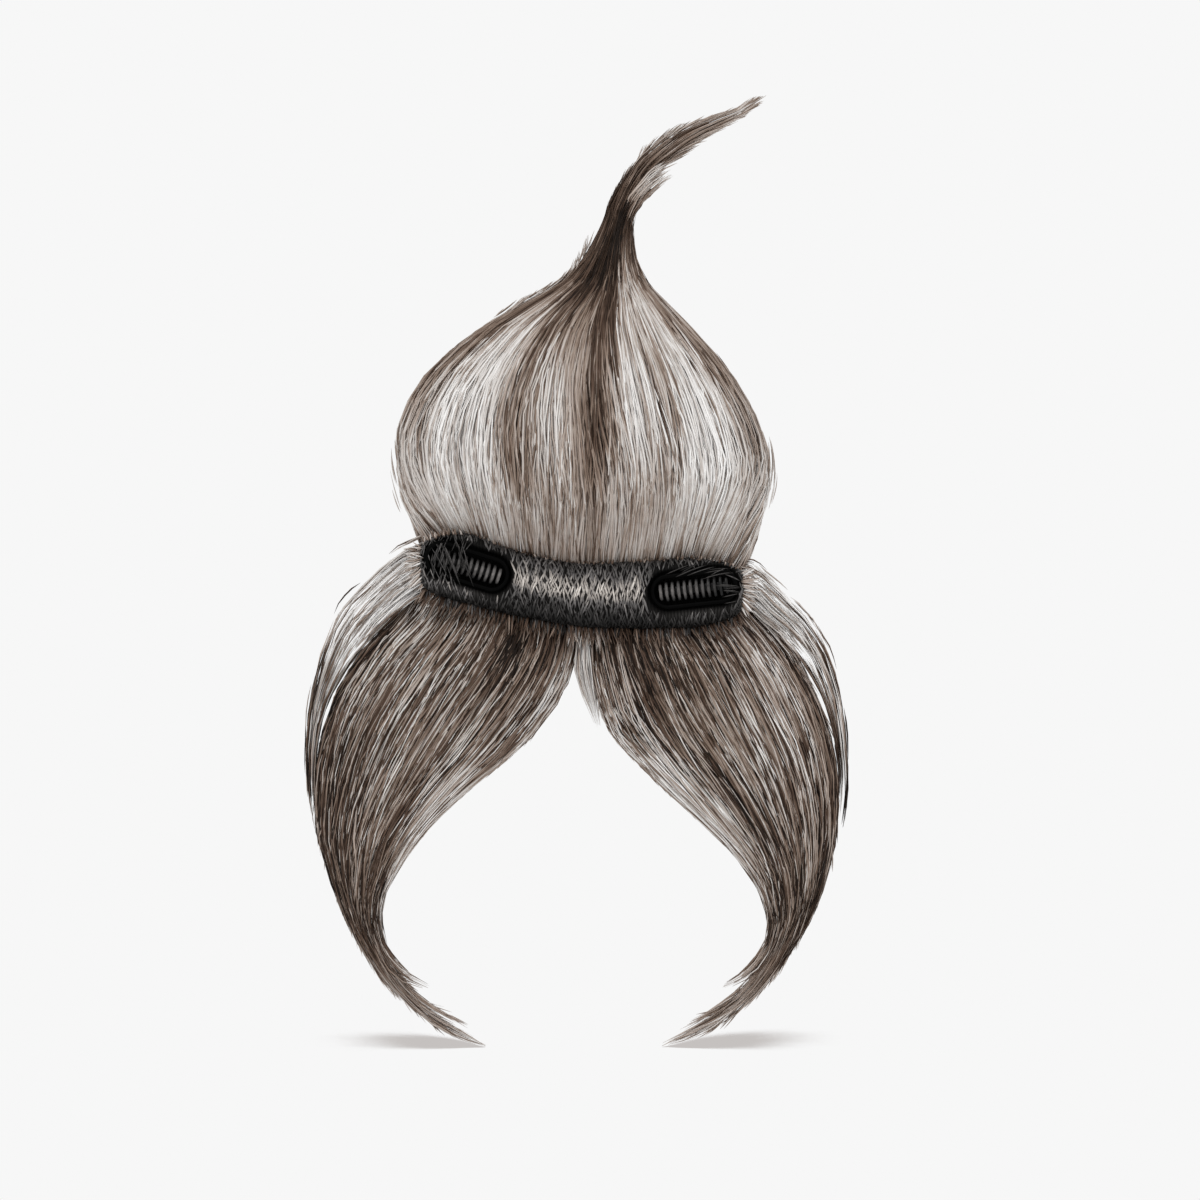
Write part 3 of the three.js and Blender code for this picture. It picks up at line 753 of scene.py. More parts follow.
STRAND_RINGS = 5
CROWN_RINGS = 7  # more of them, since the strands of the crown bend more
STRAND_WIDTH = 0.8  # mm; drawn about ten times as thick as a real fibre, so that it shows
FLICK = 1.2  # mm that the end of a strand may stand off its bundle
ROW_LENGTH = 15.0  # mm from row to row of a bundle, about
TUFTS = 9  # pointed tufts that a bundle parts into at its tip
TUFT_STAGGER = 2.2  # rows by which the shortest tuft ends before the tip
TUFT_ENDS = 0.7  # rows over which the strands of one tuft end
TUFT_ROWS = 1.8  # rows before its end where they start to come together
TUFT_PULL = 0.7  # how far they do, as a share of the way
SHORTEST = 0.8  # rows
SWAY = 0.012  # radians
LEVELS = (-0.045, 0.008)  # how high in a bundle its strands lie, as a share of it; deeper ones are also darker by it, as painted shade
TUCK = 0.05  # by which their ends go in
UNTUCKED = 1.2  # the row before which they stay out, at the roots
ROOT_ROWS = (0.4, 3.4)  # the rows over which the pull at the roots fades
BLUR_ACROSS = 0.035  # how far the tone of a strand may come from beside it, and from rows along it
BLUR_ALONG = 0.5
TIP_LIGHT = 0.2  # by which loose tips are lighter
TIP_THIN = 0.35  # share of their width that loose tips lose
LAYER = "count start_low start_high length_low length_high slants"
KIND = "share change spread width"
CROWN_KINDS = table(KIND, [  # thin dark strands, plain ones, and bright ones
    (0.30, -0.15, 0.05, 0.6),
    (0.48, 0.02, 0.05, 1.05),
    (0.22, 0.10, 0.04, 0.85),
])
LOCK_KINDS = table(KIND, [
    (0.34, -0.28, 0.07, 0.7),
    (0.34, 0.0, 0.09, 0.85),
    (0.32, 0.32, 0.08, 0.58),
])


def strand_kinds(kinds, count):
    """The change of tone and the width of each strand."""
    kind = random.choice(len(kinds["share"]), count, p=kinds["share"])
    change = random.normal(kinds["change"][kind], kinds["spread"][kind])
    return change, STRAND_WIDTH * kinds["width"][kind] * random.uniform(0.75, 1.2, count)


def bundle_strands(rows, layers, kinds, base, streaks, tip, outer, clumps, girth, pull, rings):
    """Strands over a bundle, layer by layer. At the root, pull draws the ones at its sides to its front.

    Returns their paths, widths, tones and first angles.
    """
    last = len(rows["y"]) - 1
    t = np.linspace(0, 1, rings)
    tuft_reach = random.permutation(np.linspace(0, 1, TUFTS))
    tuft_radius = random.uniform(0.4, 1.0, TUFTS)
    parts = []
    for count, start_low, start_high, length_low, length_high, slants in zip(*layers.values()):
        count = int(count)
        first = round_bundle(count, *girth)
        tuft = np.floor((first + math.pi) / (2 * math.pi) * TUFTS).astype(int) % TUFTS
        tuft_angle = (tuft + 0.5) / TUFTS * 2 * math.pi - math.pi
        tuft_end = last - TUFT_STAGGER * tuft_reach[tuft] + random.uniform(-TUFT_ENDS, 0.0, count)
        start = np.minimum(random.uniform(start_low, start_high, count), tuft_end - SHORTEST)
        end = np.minimum(start + random.uniform(length_low, length_high, count), tuft_end)
        position = start[:, None] + (end - start)[:, None] * t
        half = np.maximum(half_width(rows, position), 2)

        # Strands lie along the bundle at slightly different slants, and come together in tufts at its tip.
        loose = step(last - TIP_ROWS - 0.5, last - TIP_ROWS + 2, position)
        gather = TUFT_PULL * loose * step(-TUFT_ROWS, 0.0, position - tuft_end[:, None])
        slant = random.normal(0, slants, count)[:, None] * ROW_LENGTH / half
        angle = first[:, None] + slant * (position - position.mean(1, keepdims=True))
        angle = angle + waver(count, rings, (end - start)[:, None] / 3, SWAY, 0.0)
        angle = angle + gather * (tuft_angle[:, None] - angle)
        angle = angle - pull * np.sin(angle) ** 5 * (1 - step(*ROOT_ROWS, position))

        # They lie on the bundle, with their ends tucked in, and stand off it where they are loose.
        level = random.uniform(*LEVELS, count)[:, None]
        tucked = np.where(position < UNTUCKED, 0, TUCK * (1 - np.sin(math.pi * t) ** 0.6))
        deep = valley(angle, clumps)
        radius = 1 + level - tucked - RELIEF * deep
        spread = random.uniform(0.1, 0.7, count)[:, None] + random.uniform(0.15, 0.55, count)[:, None] * t
        radius = radius + loose * (spread - radius)
        radius = radius + gather * (tuft_radius[tuft][:, None] - radius)
        radius = radius + FLICK * random.uniform(-0.3, 1, count)[:, None] * step(0.55, 1.0, t) / half

        change, width = strand_kinds(kinds, count)
        across = (np.sin(angle) + random.normal(0, BLUR_ACROSS, count)[:, None]) * outer
        zone = hair_tone(base, streaks, across, position + random.normal(0, BLUR_ALONG, count)[:, None])
        # Painted shade: strands in the valleys between clumps, and those lying deeper, are darker.
        tone = zone + change[:, None] * (1 - TIP_CALM * loose) - VALLEY_PAINTED_SHADE * deep + level
        tone = tone + TIP_LIGHT * loose * step(0.3, 1.0, t)
        width = width[:, None] * taper(rings, 0.2, 0.4) * (1 - TIP_THIN * loose)
        kept = random.uniform(size=count) < np.interp(end, tip["row"], tip["kept"])
        path = core_point(rows, tip, outer, position, angle, radius)
        parts.append((path[kept], width[kept], tone[kept], first[kept]))
    return joined(parts)


FLYAWAY = "count side start_low start_high length_low length_high root_lift tip_lift tone"  # side 0: both
FLYAWAY_WIDTH = 0.45  # mm


def flyaways(rows, tip, outer, lots, rings):
    """Thin loose hairs along the left and right edge of a bundle, lifted in mm from inside to outside it."""
    t = np.linspace(0, 1, rings)
    parts = []
    for lot in zip(*lots.values()):
        count, side, start_low, start_high, length_low, length_high, root_lift, tip_lift, tone = lot
        count = int(count)
        start = random.uniform(start_low, start_high, count)[:, None]
        position = start + random.uniform(length_low, length_high, count)[:, None] * t
        sides = np.full(count, side) if side else random.choice([-1, 1], count)
        edge = sides * math.pi / 2 + random.normal(0, 0.2, count)
        angle = edge[:, None] + waver(count, rings, 0.5, 0.02, 0.0)
        lift = root_lift + (tip_lift - root_lift) * random.uniform(0.3, 1.0, count)[:, None] * t
        lift = lift + random.normal(0, 0.3, count)[:, None]
        radius = 1 + lift / np.maximum(half_width(rows, position), 1)
        path = core_point(rows, tip, outer, position, angle, radius)
        width = FLYAWAY_WIDTH * random.uniform(0.7, 1.3, count)[:, None] * taper(rings, 0.3, 0.5)
        parts.append((path, width, tone + random.normal(0, 0.1, count)[:, None] + 0 * t))
    return joined(parts)


def body_mesh(name, rows, base, streaks, tip, outer, clumps):
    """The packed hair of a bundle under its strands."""
    last = len(rows["y"]) - 1

    def place(turn, way):
        angle = 2 * math.pi * turn - math.pi
        radius = BODY_RADIUS - RELIEF * valley(angle, clumps)
        thinned = 1 - (1 - TIP_BODY) * step(last - TIP_ROWS - 1, last - 1, way * last)
        return core_point(rows, tip, outer, way * last, angle, radius * thinned)

    def tone(turn, way):
        angle = 2 * math.pi * turn - math.pi
        zone = hair_tone(base, streaks, np.sin(angle) * outer, way * last)
        # Painted shade: the hair under the strands is darker, and more so in the valleys.
        return np.clip(zone - BODY_PAINTED_SHADE - VALLEY_PAINTED_SHADE * valley(angle, clumps), 0, 1)

    return bent_grid(name, *BODY_GRID, place, tone)


WISP_STARTS = (0.0, 0.35)  # shares of a wisp where its strands start, and where they end
WISP_ENDS = (0.55, 1.0)
WISP_FILL = 0.7  # share of its half width that they fill at the root
WISP_SPREAD = 0.5  # by which they spread towards the tip
WISP_SWAY = 0.1
WISP_CONTRAST = 0.6  # between its strands, against those of a lock
WISP_EDGE_DARK = 0.1


def wisp_strands(rows, count, root_tone, tip_tone, rings):
    """Strands of a loose wisp, which start together and end at different lengths."""
    last = len(rows["x"]) - 1
    t = np.linspace(0, 1, rings)
    start = random.uniform(*WISP_STARTS, count)[:, None] * last
    position = start + (random.uniform(*WISP_ENDS, count)[:, None] * last - start) * t
    across = random.uniform(-WISP_FILL, WISP_FILL, count)[:, None] * (1 + WISP_SPREAD * t)
    across = across + waver(count, rings, 1.0, WISP_SWAY, 0.0)
    front = random.uniform(-1, 1, count)[:, None] + 0 * t
    change, width = strand_kinds(LOCK_KINDS, count)
    zone = root_tone + (tip_tone - root_tone) * position / last
    tone = zone + WISP_CONTRAST * change[:, None] - WISP_EDGE_DARK * across ** 2
    return wisp_point(rows, position, across, front), width[:, None] * taper(rings, 0.15, 0.5), tone


# The veil of loose hair that leaves each end of the band: its outer and inner edge from root to tip,
# and how far its strands reach in rows, across it.
EDGE = "x y z"
VEIL_LEFT = [table(EDGE, [
    (-51.0, 10.0, 18.0),
    (-61.0, 8.5, 13.2),
    (-72.5, 8.0, 3.2),
    (-81.5, 9.0, -6.8),
    (-87.2, 9.5, -21.3),
    (-91.2, 10.0, -38.0),
    (-92.6, 10.0, -54.0),
    (-92.2, 10.0, -69.0),
    (-89.8, 10.0, -83.0),
]), table(EDGE, [
    (-51.0, 10.0, 0.5),
    (-57.0, 9.0, -2.5),
    (-63.5, 9.5, -8.0),
    (-70.5, 10.5, -15.0),
    (-77.5, 11.0, -23.5),
    (-84.0, 11.0, -33.5),
    (-88.0, 10.5, -45.0),
    (-89.8, 10.5, -58.0),
    (-89.8, 10.0, -72.0),
])]
VEIL_RIGHT = [table(EDGE, [
    (51.0, 10.0, 9.5),
    (57.5, 8.5, 8.6),
    (66.0, 8.0, 1.0),
    (75.5, 9.0, -8.5),
    (82.8, 9.5, -21.3),
    (87.0, 10.0, -37.0),
    (89.0, 10.0, -54.0),
    (89.2, 10.0, -69.0),
    (87.2, 10.0, -83.0),
]), table(EDGE, [
    (51.0, 10.0, -6.5),
    (56.0, 9.0, -5.5),
    (61.0, 9.5, -9.5),
    (67.5, 10.5, -15.5),
    (74.0, 11.0, -23.5),
    (80.0, 11.0, -33.5),
    (84.0, 10.5, -45.0),
    (86.0, 10.5, -58.0),
    (86.4, 10.0, -72.0),
])]
VEIL_REACH = [(0.0, 8.0), (0.2, 7.2), (0.35, 5.4), (0.5, 4.4), (0.7, 3.7), (0.9, 3.9), (0.96, 6.0),
              (1.0, 7.5)]
VEIL_STRANDS = 300
VEIL_TAIL_STRANDS = 110
VEIL_TONE = [(0, 0.97), (1, 1.08), (2, 1.0), (3, 0.9), (4, 0.76), (6, 0.46), (8, 0.38)]
VEIL_TAIL = 5.0  # the row where its tail starts
VEIL_TAIL_STARTS = (-1.8, 1.4)  # rows from there where the strands of the tail start
VEIL_ACROSS = (-0.04, 1)  # where its strands are, from its outer edge at 0 to its inner edge at 1
VEIL_OFF = 0.05  # share of them that stand off its outer edge
VEIL_OFF_ACROSS = (-0.2, -0.05)  # where those are
VEIL_FROM_BAND = 0.45  # share of them that start at the band
VEIL_LENGTH = (1.0, 3.2)  # rows
VEIL_SHORT = 0.35  # share of the strands from the band that are short
VEIL_SHORT_LENGTH = 0.35  # their length, as a share of the usual one
VEIL_DEPTH = (-1.5, 2.5)  # mm that strands lie before or behind the veil's edges
VEIL_CONTRAST = 1.25  # between its strands, against those of a lock
VEIL_OUTER_DARK = 0.16  # how far in from its outer edge it is dark, and from where on to its inner edge
VEIL_INNER_DARK = 0.8
VEIL_DARK = (0.34, 0.28, 0.16, 0.3)  # of its outer edge, inner edge, short strands and those off its edge


def veil_strands(edges, count, tail_count):
    """Pale strands of a veil, darker along its edges, short root hairs, and a brown tail beside the lock."""
    t = np.linspace(0, 1, STRAND_RINGS)
    both = count + tail_count
    tail = np.arange(both) >= count
    across = random.uniform(*VEIL_ACROSS, both)
    off = (random.uniform(size=both) < VEIL_OFF) & ~tail
    across = np.where(off, random.uniform(*VEIL_OFF_ACROSS, both), across)
    reach = np.where(tail, len(edges[0]["x"]) - 1, np.interp(across, *zip(*VEIL_REACH)))
    reach = reach * random.uniform(0.8, 1.0, both)
    further = random.choice([0.0, 1.0], both, p=[VEIL_FROM_BAND, 1 - VEIL_FROM_BAND])
    start = further * random.uniform(0, 0.75, both) * reach
    start = np.where(tail, VEIL_TAIL + random.uniform(*VEIL_TAIL_STARTS, both), start)
    length = np.where(off, 1.0, random.uniform(*VEIL_LENGTH, both))
    short = (start == 0) & (random.uniform(size=both) < VEIL_SHORT)
    end = np.minimum(start + np.where(short, VEIL_SHORT_LENGTH * length, length), reach)
    position = start[:, None] + (end - start)[:, None] * t
    share = across[:, None] + waver(both, STRAND_RINGS, 1.0, 0.025, 0.008)
    outer, inner = (line_point(edge, position) for edge in edges)
    path = outer + (inner - outer) * share[..., None]
    path[..., 1] += random.uniform(*VEIL_DEPTH, both)[:, None]
    change, width = strand_kinds(LOCK_KINDS, both)
    outer_edge = np.exp(-(across / VEIL_OUTER_DARK) ** 2)
    inner_edge = step(VEIL_INNER_DARK, 1.0, across)
    dark = sum(by * where for by, where in zip(VEIL_DARK, (outer_edge, inner_edge, short, off)))
    tone = np.interp(position, *zip(*VEIL_TONE)) + (VEIL_CONTRAST * change - dark)[:, None]
    return path, width[:, None] * taper(STRAND_RINGS, 0.15, 0.5), tone


FLOOR_GAP = 0.2  # mm from the lowest solid down to the floor
FLOOR_Z = CAD_BOX[0].z / MM - FLOOR_GAP
HAIR_ABOVE_FLOOR = 0.5  # mm


def add_strands(name, parts, material):
    """One piece of strands from several lots of paths, widths and tones, none of them below the floor."""
    path, width, tone = joined(parts)
    path[..., 2] = np.maximum(path[..., 2], FLOOR_Z + HAIR_ABOVE_FLOOR)
    return finish_piece(name, strand_mesh(name, path, width, tone), material)


# The crown: packed hair, front and back strands, and the curl.
crown_fibre = hair_fibre("synthetic_hair_crown")
lock_fibre = hair_fibre("synthetic_hair_locks")
packed_fibre = packed_hair("packed_synthetic_hair")
CROWN_CLUMPS = 20
CROWN_GIRTH = (62, 33)  # half the width and depth of its widest section
CROWN_LOOK = (CROWN_BASE, CROWN_STREAKS, CROWN_TIP, 1, CROWN_CLUMPS)
CROWN_LAYERS = table(LAYER, [
    (2900, -0.1, 1.1, 1.8, 4.4, 0.045),
    (3900, 1.0, 5.0, 2.4, 5.0, 0.03),
    (1300, 4.0, 6.8, 2.2, 4.4, 0.03),
    (900, 7.5, 13.2, 0.8, 2.0, 0.04),
])
CROWN_PULL = 0.4  # radians by which strands at its sides come in towards its front at the root
CROWN_FLYAWAYS = table(FLYAWAY, [
    (120, 0, 1.5, 8.0, 0.4, 1.2, -1.0, 0.8, 0.45),  # along both sides of the bulb
    (14, 0, 1.4, 3.2, 0.6, 1.2, 1.8, 2.6, 0.62),  # long hairs beside its lower part
    (70, -1, 6.3, 8.3, 0.25, 0.6, 1.4, 5.0, 0.6),  # short ones on its left shoulder
    (60, 0, 8.4, 10.8, 0.3, 0.7, -1.2, 0.8, 0.58),  # a few at the neck
    (230, 0, 10.9, 13.2, 0.3, 0.7, -1.2, 3.0, 0.58),  # feathers along the curl
])
finish_piece("crown_body", body_mesh("crown_body", CROWN, *CROWN_LOOK), packed_fibre,
             ["crown_tuft"])
path, width, tone, first = bundle_strands(CROWN, CROWN_LAYERS, CROWN_KINDS, *CROWN_LOOK, CROWN_GIRTH,
                                          CROWN_PULL, CROWN_RINGS)
at_front = np.cos(first) > 0
add_strands("crown_strands_front", [
    (path[at_front], width[at_front], tone[at_front]),
    flyaways(CROWN, CROWN_TIP, 1, CROWN_FLYAWAYS, CROWN_RINGS),
    wisp_strands(CURL_WISP, 84, 0.36, 0.9, CROWN_RINGS),
], crown_fibre)
add_strands("crown_strands_back", [(path[~at_front], width[~at_front], tone[~at_front])], crown_fibre)

# The side locks with their wisps.
LOCK_CLUMPS = 12
LOCK_GIRTH = (33, 14)  # half the width and depth of its widest section
LOCK_LAYERS = table(LAYER, [
    (1700, -0.15, 0.9, 1.8, 4.4, 0.065),
    (3000, 1.0, 6.0, 1.8, 4.4, 0.06),
    (950, 5.0, 9.0, 1.4, 3.2, 0.06),
    (520, 8.0, 11.8, 1.2, 2.8, 0.06),
])
LOCK_FLYAWAYS = table(FLYAWAY, [
    (220, 0, 1.2, 9.0, 0.3, 0.9, -1.5, 0.9, 0.5),  # feathers along both edges
    (80, 0, 8.5, 11.8, 0.3, 0.8, -1.4, 1.3, 0.58),  # and at the tip
])
LOCK_WISPS = {  # the wisps of each side with their number of strands and their tones at root and tip
    "left": [
        (TIP_WISP_LEFT, 34, 0.34, 0.62),
        (BRUSH_LEFT, 26, 0.4, 0.66),
        (POINT_LEFT, 18, 0.45, 0.74),
    ],
    "right": [
        (TIP_WISP_RIGHT, 34, 0.34, 0.62),
        (BRUSH_RIGHT, 26, 0.4, 0.66),
        (POINT_RIGHT, 18, 0.45, 0.74),
        (CENTRE_WISP, 84, 0.74, 0.98),
        (BACK_WISP, 90, 0.32, 0.44),
    ],
}
for side, rows, outer, veil in (("left", LEFT_LOCK, 1, VEIL_LEFT), ("right", RIGHT_LOCK, -1, VEIL_RIGHT)):
    look = (LOCK_BASE, LOCK_STREAKS[side], LOCK_TIP, outer, LOCK_CLUMPS)
    finish_piece(f"lock_{side}_body", body_mesh(f"lock_{side}_body", rows, *look), packed_fibre,
                 [f"side_lock_{side}"])
    strands = bundle_strands(rows, LOCK_LAYERS, LOCK_KINDS, *look, LOCK_GIRTH, 0, STRAND_RINGS)
    add_strands(f"lock_{side}_strands", [
        strands[:3],
        veil_strands(veil, VEIL_STRANDS, VEIL_TAIL_STRANDS),
        flyaways(rows, LOCK_TIP, outer, LOCK_FLYAWAYS, STRAND_RINGS),
    ] + [wisp_strands(*wisp, STRAND_RINGS) for wisp in LOCK_WISPS[side]], lock_fibre)


# The band: a padded roll with a soft pocket for each clip, and its net of threads.
def in_pocket(x, z):
    """How far inside a clip's pocket places on the band's face are, from 0 to 1."""
    inside = np.zeros_like(x)
    for clip in CLIPS:
        inside = np.maximum(inside, step(0, 1, (POCKET_RIM - out_of_clip(clip, x, z)) / POCKET_SLOPE))
    return inside


def turn_at(way):
    """The turn round the band at a way in mm from the middle of its face, on its middle section."""
    grid = np.linspace(-math.pi, math.pi, 4001)
    section = band_surface(np.zeros_like(grid), grid, 0)
    arc = np.concatenate([[0], np.cumsum(np.linalg.norm(np.diff(section, axis=0), axis=1))])
    return np.interp(way, arc - arc[len(grid) // 2], grid)


STRIPE_STARTS = (-34, -20)  # x over which the painted highlight stripe comes in, and goes out again
STRIPE_ENDS = (16, 25)
STRIPE_HEIGHT = 2.0  # mm above the band's middle
STRIPE_FALL = 0.04  # mm by which it lies lower for each mm to the right
STRIPE_WIDTH = 4.2
HIGHLIGHT_PATCHES = [(-42, 13, 1.05), (38, 12, 0.75)]  # x, width and strength of the painted highlight patches below the clips
HIGHLIGHT_PATCH_HEIGHT = 4.5  # mm above the band's lower edge
HIGHLIGHT_PATCH_WIDTH = 2.8
PADDING_TONE = 0.12
# how strong the painted highlight is on the padding
PADDING_PAINTED_HIGHLIGHT = 0.2
BAND_GRID = (120, 180)  # faces of the padding round the band and along it


def painted_highlight(x, z):
    """The painted highlight: a pale stripe along the band's face between the clips, and patches below them.
    """
    between = step(*STRIPE_STARTS, x) * (1 - step(*STRIPE_ENDS, x))
    from_stripe = z - band_middle(x) - STRIPE_HEIGHT + STRIPE_FALL * x
    stripe = between * np.exp(-(from_stripe / STRIPE_WIDTH) ** 2)
    below = np.exp(-((z - along_band("bottom", x) - HIGHLIGHT_PATCH_HEIGHT) / HIGHLIGHT_PATCH_WIDTH) ** 2)
    return stripe + below * sum(strength * np.exp(-((x - at) / width) ** 2) for at, width, strength in HIGHLIGHT_PATCHES)


def plain_roll(turn, way):
    """Points of the band without its pockets, and how far inside a pocket each of them is."""
    angle = 2 * math.pi * turn - math.pi
    points = band_surface(BAND_HALF_LENGTH * np.sin((2 * way - 1) * math.pi / 2), angle, 0)
    return points, np.where(np.cos(angle) > 0, in_pocket(points[:, 0], points[:, 2]), 0)


def band_place(turn, way):
    """Points of the padding, with its pockets pressed in."""
    points, inside = plain_roll(turn, way)
    points[:, 1] += POCKET_DEPTH * inside
    return points


def band_tone(turn, way):
    """How light the padding is, with its painted highlight, and black in its pockets as painted shade."""
    points, inside = plain_roll(turn, way)
    return (PADDING_TONE + PADDING_PAINTED_HIGHLIGHT * painted_highlight(points[:, 0], points[:, 2])) * (1 - inside)


band = finish_piece("band_padding", bent_grid("band_padding", *BAND_GRID, band_place, band_tone),
                    padding_cover("black_tricot"), ["band"])

THREAD_WIDTH = 0.68
THREAD_RINGS = 5
THREAD_COLUMN = 1.25  # mm between the stitches along the band
THREAD_ROW = 2.9  # mm between the stitches round it
STITCH_LENGTH = (3.4, 6.0)  # mm
STITCH_LEAN = (0.12, 0.48)  # radians to either side of straight round the band
STITCH_LIFT = (0.0, 0.4)  # mm off the padding
FACE_REACH = 14  # mm round the band from the middle of its face to the edge of the face
NET_REACH = 21  # and to the edge of the net
NET_EDGE = 0.3  # how far inside a pocket a stitch may be
OVER_CLIP = -42.0  # left of this the net runs on over the left clip
OVER_CLIP_SHARE = 0.4  # of the stitches there that are left
OVER_CLIP_WIDTH = 0.6  # share of a thread's width that they have
OVER_CLIP_TONE = 0.42
# Tone of the threads by way round the band in mm, from below to above; the darker underside is painted
# shade.
NET_TONE_AND_SHADE = [(-14, 0.07), (-9, 0.17), (-4, 0.38), (0, 0.48), (5, 0.48), (9, 0.43), (14, 0.38)]
# how strong the painted highlight is on the net's threads
NET_PAINTED_HIGHLIGHT = 0.38


def net_threads():
    """Short stitches that cross each other all over the front of the band, most left out at the pockets."""
    columns = np.arange(1 - BAND_HALF_LENGTH, BAND_HALF_LENGTH - 1, THREAD_COLUMN)
    ways = np.arange(-NET_REACH, NET_REACH, THREAD_ROW)
    x0, way0, side = (grid.ravel() for grid in np.meshgrid(columns, ways, (-1, 1)))
    count = len(x0)
    x0 = x0 + random.normal(0, 0.4, count)
    way0 = way0 + random.normal(0, 0.8, count)
    lean = side * random.uniform(*STITCH_LEAN, count)
    length = random.uniform(*STITCH_LENGTH, count)
    t = np.linspace(-0.5, 0.5, THREAD_RINGS)
    x = x0[:, None] + (length * np.sin(lean))[:, None] * t
    x = np.clip(x, -BAND_HALF_LENGTH + 0.2, BAND_HALF_LENGTH - 0.2)
    way = way0[:, None] + (length * np.cos(lean))[:, None] * t
    path = band_surface(x, turn_at(way), random.uniform(*STITCH_LIFT, count)[:, None])
    inside = in_pocket(path[..., 0], path[..., 2]) * (np.abs(way) < FACE_REACH)
    clear = inside.max(1) < NET_EDGE
    covered = (x0 < OVER_CLIP + random.normal(0, 3, count)) & (random.uniform(size=count) < OVER_CLIP_SHARE)
    keep = clear | covered
    tone = np.interp(way, *zip(*NET_TONE_AND_SHADE)) + NET_PAINTED_HIGHLIGHT * painted_highlight(x, path[..., 2])
    tone = np.where(inside > NET_EDGE, OVER_CLIP_TONE, tone) + random.normal(0, 0.08, count)[:, None]
    thick = THREAD_WIDTH * np.where(clear, 1, OVER_CLIP_WIDTH)
    width = (thick * random.uniform(0.75, 1.2, count))[:, None] * taper(THREAD_RINGS, 0.12, 0.12)
    return path[keep], width[keep], tone[keep]


STRAY = "count x_low x_high way_low way_high x_shift_low x_shift_high way_shift_low way_shift_high"
STRAYS = table(STRAY, [
    (7, -51, -40, 7.0, 9.0, 3, 8, -14, -9),
    (5, -45, -34, 8.0, 9.5, -3, 3, -5, -3),
    (9, 35, 51, 8.0, 9.5, -11, -5, -4, -2),
    (9, 51, 53, -5.0, 7.0, -8, -4, -1, 1),
])
STRAY_LIFT = 0.4
STRAY_WIDTH = 0.4
STRAY_TONE = 0.36


def stray_threads():
    """Loose threads that cross the pockets at the level of the band's face."""
    t = np.linspace(0, 1, THREAD_RINGS)
    lots = []
    for count, *limits in zip(*STRAYS.values()):
        low, high = np.array(limits).reshape(4, 2).T
        x, way, x_shift, way_shift = (random.uniform(a, b, int(count))[:, None] for a, b in zip(low, high))
        lots.append(band_surface(x + x_shift * t, turn_at(way + way_shift * t), STRAY_LIFT))
    path = np.concatenate(lots)
    width = STRAY_WIDTH * random.uniform(0.8, 1.2, len(path))[:, None] * taper(THREAD_RINGS, 0.15, 0.15)
    return path, width, random.normal(STRAY_TONE, 0.07, len(path))[:, None] + 0 * t


EDGE_HAIR = ("count x_low x_high way_low way_high heading by_x by_way forward length_low length_high "
             "tone spread")
EDGE_HAIRS = table(EDGE_HAIR, [  # headings in degrees in the picture, from +X up to +Z
    (420, -52, 52, -15.5, -12.0, -90, 35, 0, 0.3, 3.0, 7.5, 0.2, 0.1),  # below the band
    (170, -52, 52, 11.5, 13.5, 90, -20, 0, 0.1, 0.8, 2.2, 0.3, 0.12),  # above it
    (36, -53, -40, 11.0, 13.5, 100, 0, 0, 0.1, 1.6, 3.2, 0.42, 0.12),  # at its high left corner
    (60, -54.4, -52.6, -10, 11, 200, 0, -35, 0.1, 3.0, 6.5, 0.58, 0.16),  # at its left end
    (60, 52.6, 54.4, -10, 11, -20, 0, 35, 0.1, 3.0, 6.5, 0.58, 0.16),  # at its right end
    (50, -5, 7, -15.5, -13.0, -90, 0, 0, 0.2, 5.0, 9.0, 0.5, 0.15),  # where the locks part
])
NET_ENDS = table(EDGE_HAIR, [
    (170, -51, 51, -15.0, -11.5, -90, 12, 0, 0.3, 2.2, 5.0, 0.3, 0.1),  # below the band
])
EDGE_ROOT = -0.3  # mm; the hairs start a little inside the band
EDGE_TIP_LIGHT = 0.12  # by which their tips are lighter


def edge_hairs(lots):
    """Short hairs or ends of thread along the band's edges, which hide where it meets the hair."""
    t = np.linspace(0, 1, STRAND_RINGS)[:, None]
    parts = []
    for lot in zip(*lots.values()):
        (count, x_low, x_high, way_low, way_high, heading, by_x, by_way, forward, length_low, length_high,
         shade, spread) = lot
        count = int(count)
        x = random.uniform(x_low, x_high, count)
        way = random.uniform(way_low, way_high, count)
        root = band_surface(x, turn_at(way), EDGE_ROOT)
        turn = np.radians(heading + by_x * x / BAND_HALF_LENGTH + by_way * way / 10)
        turn = turn + random.normal(0, 0.2, count)
        course = np.stack([np.cos(turn), np.full(count, -forward), np.sin(turn)], -1)
        length = random.uniform(length_low, length_high, count)
        path = root[:, None] + length[:, None, None] * t * course[:, None]
        width = STRAND_WIDTH * random.uniform(0.5, 0.9, count)[:, None] * taper(STRAND_RINGS, 0.2, 0.5)
        parts.append((path, width, random.normal(shade, spread, count)[:, None] + EDGE_TIP_LIGHT * t[:, 0]))
    return joined(parts)


thread = netted_thread("waxed_polyester_thread")
net = joined([net_threads(), stray_threads(), edge_hairs(NET_ENDS)])
finish_piece("band_net", strand_mesh("band_net", *net), thread)
add_strands("band_edge_hairs", [edge_hairs(EDGE_HAIRS)], lock_fibre)


# The comb clips.
LOOP_GRID = (16, 120)  # faces round the bar of a loop and along it


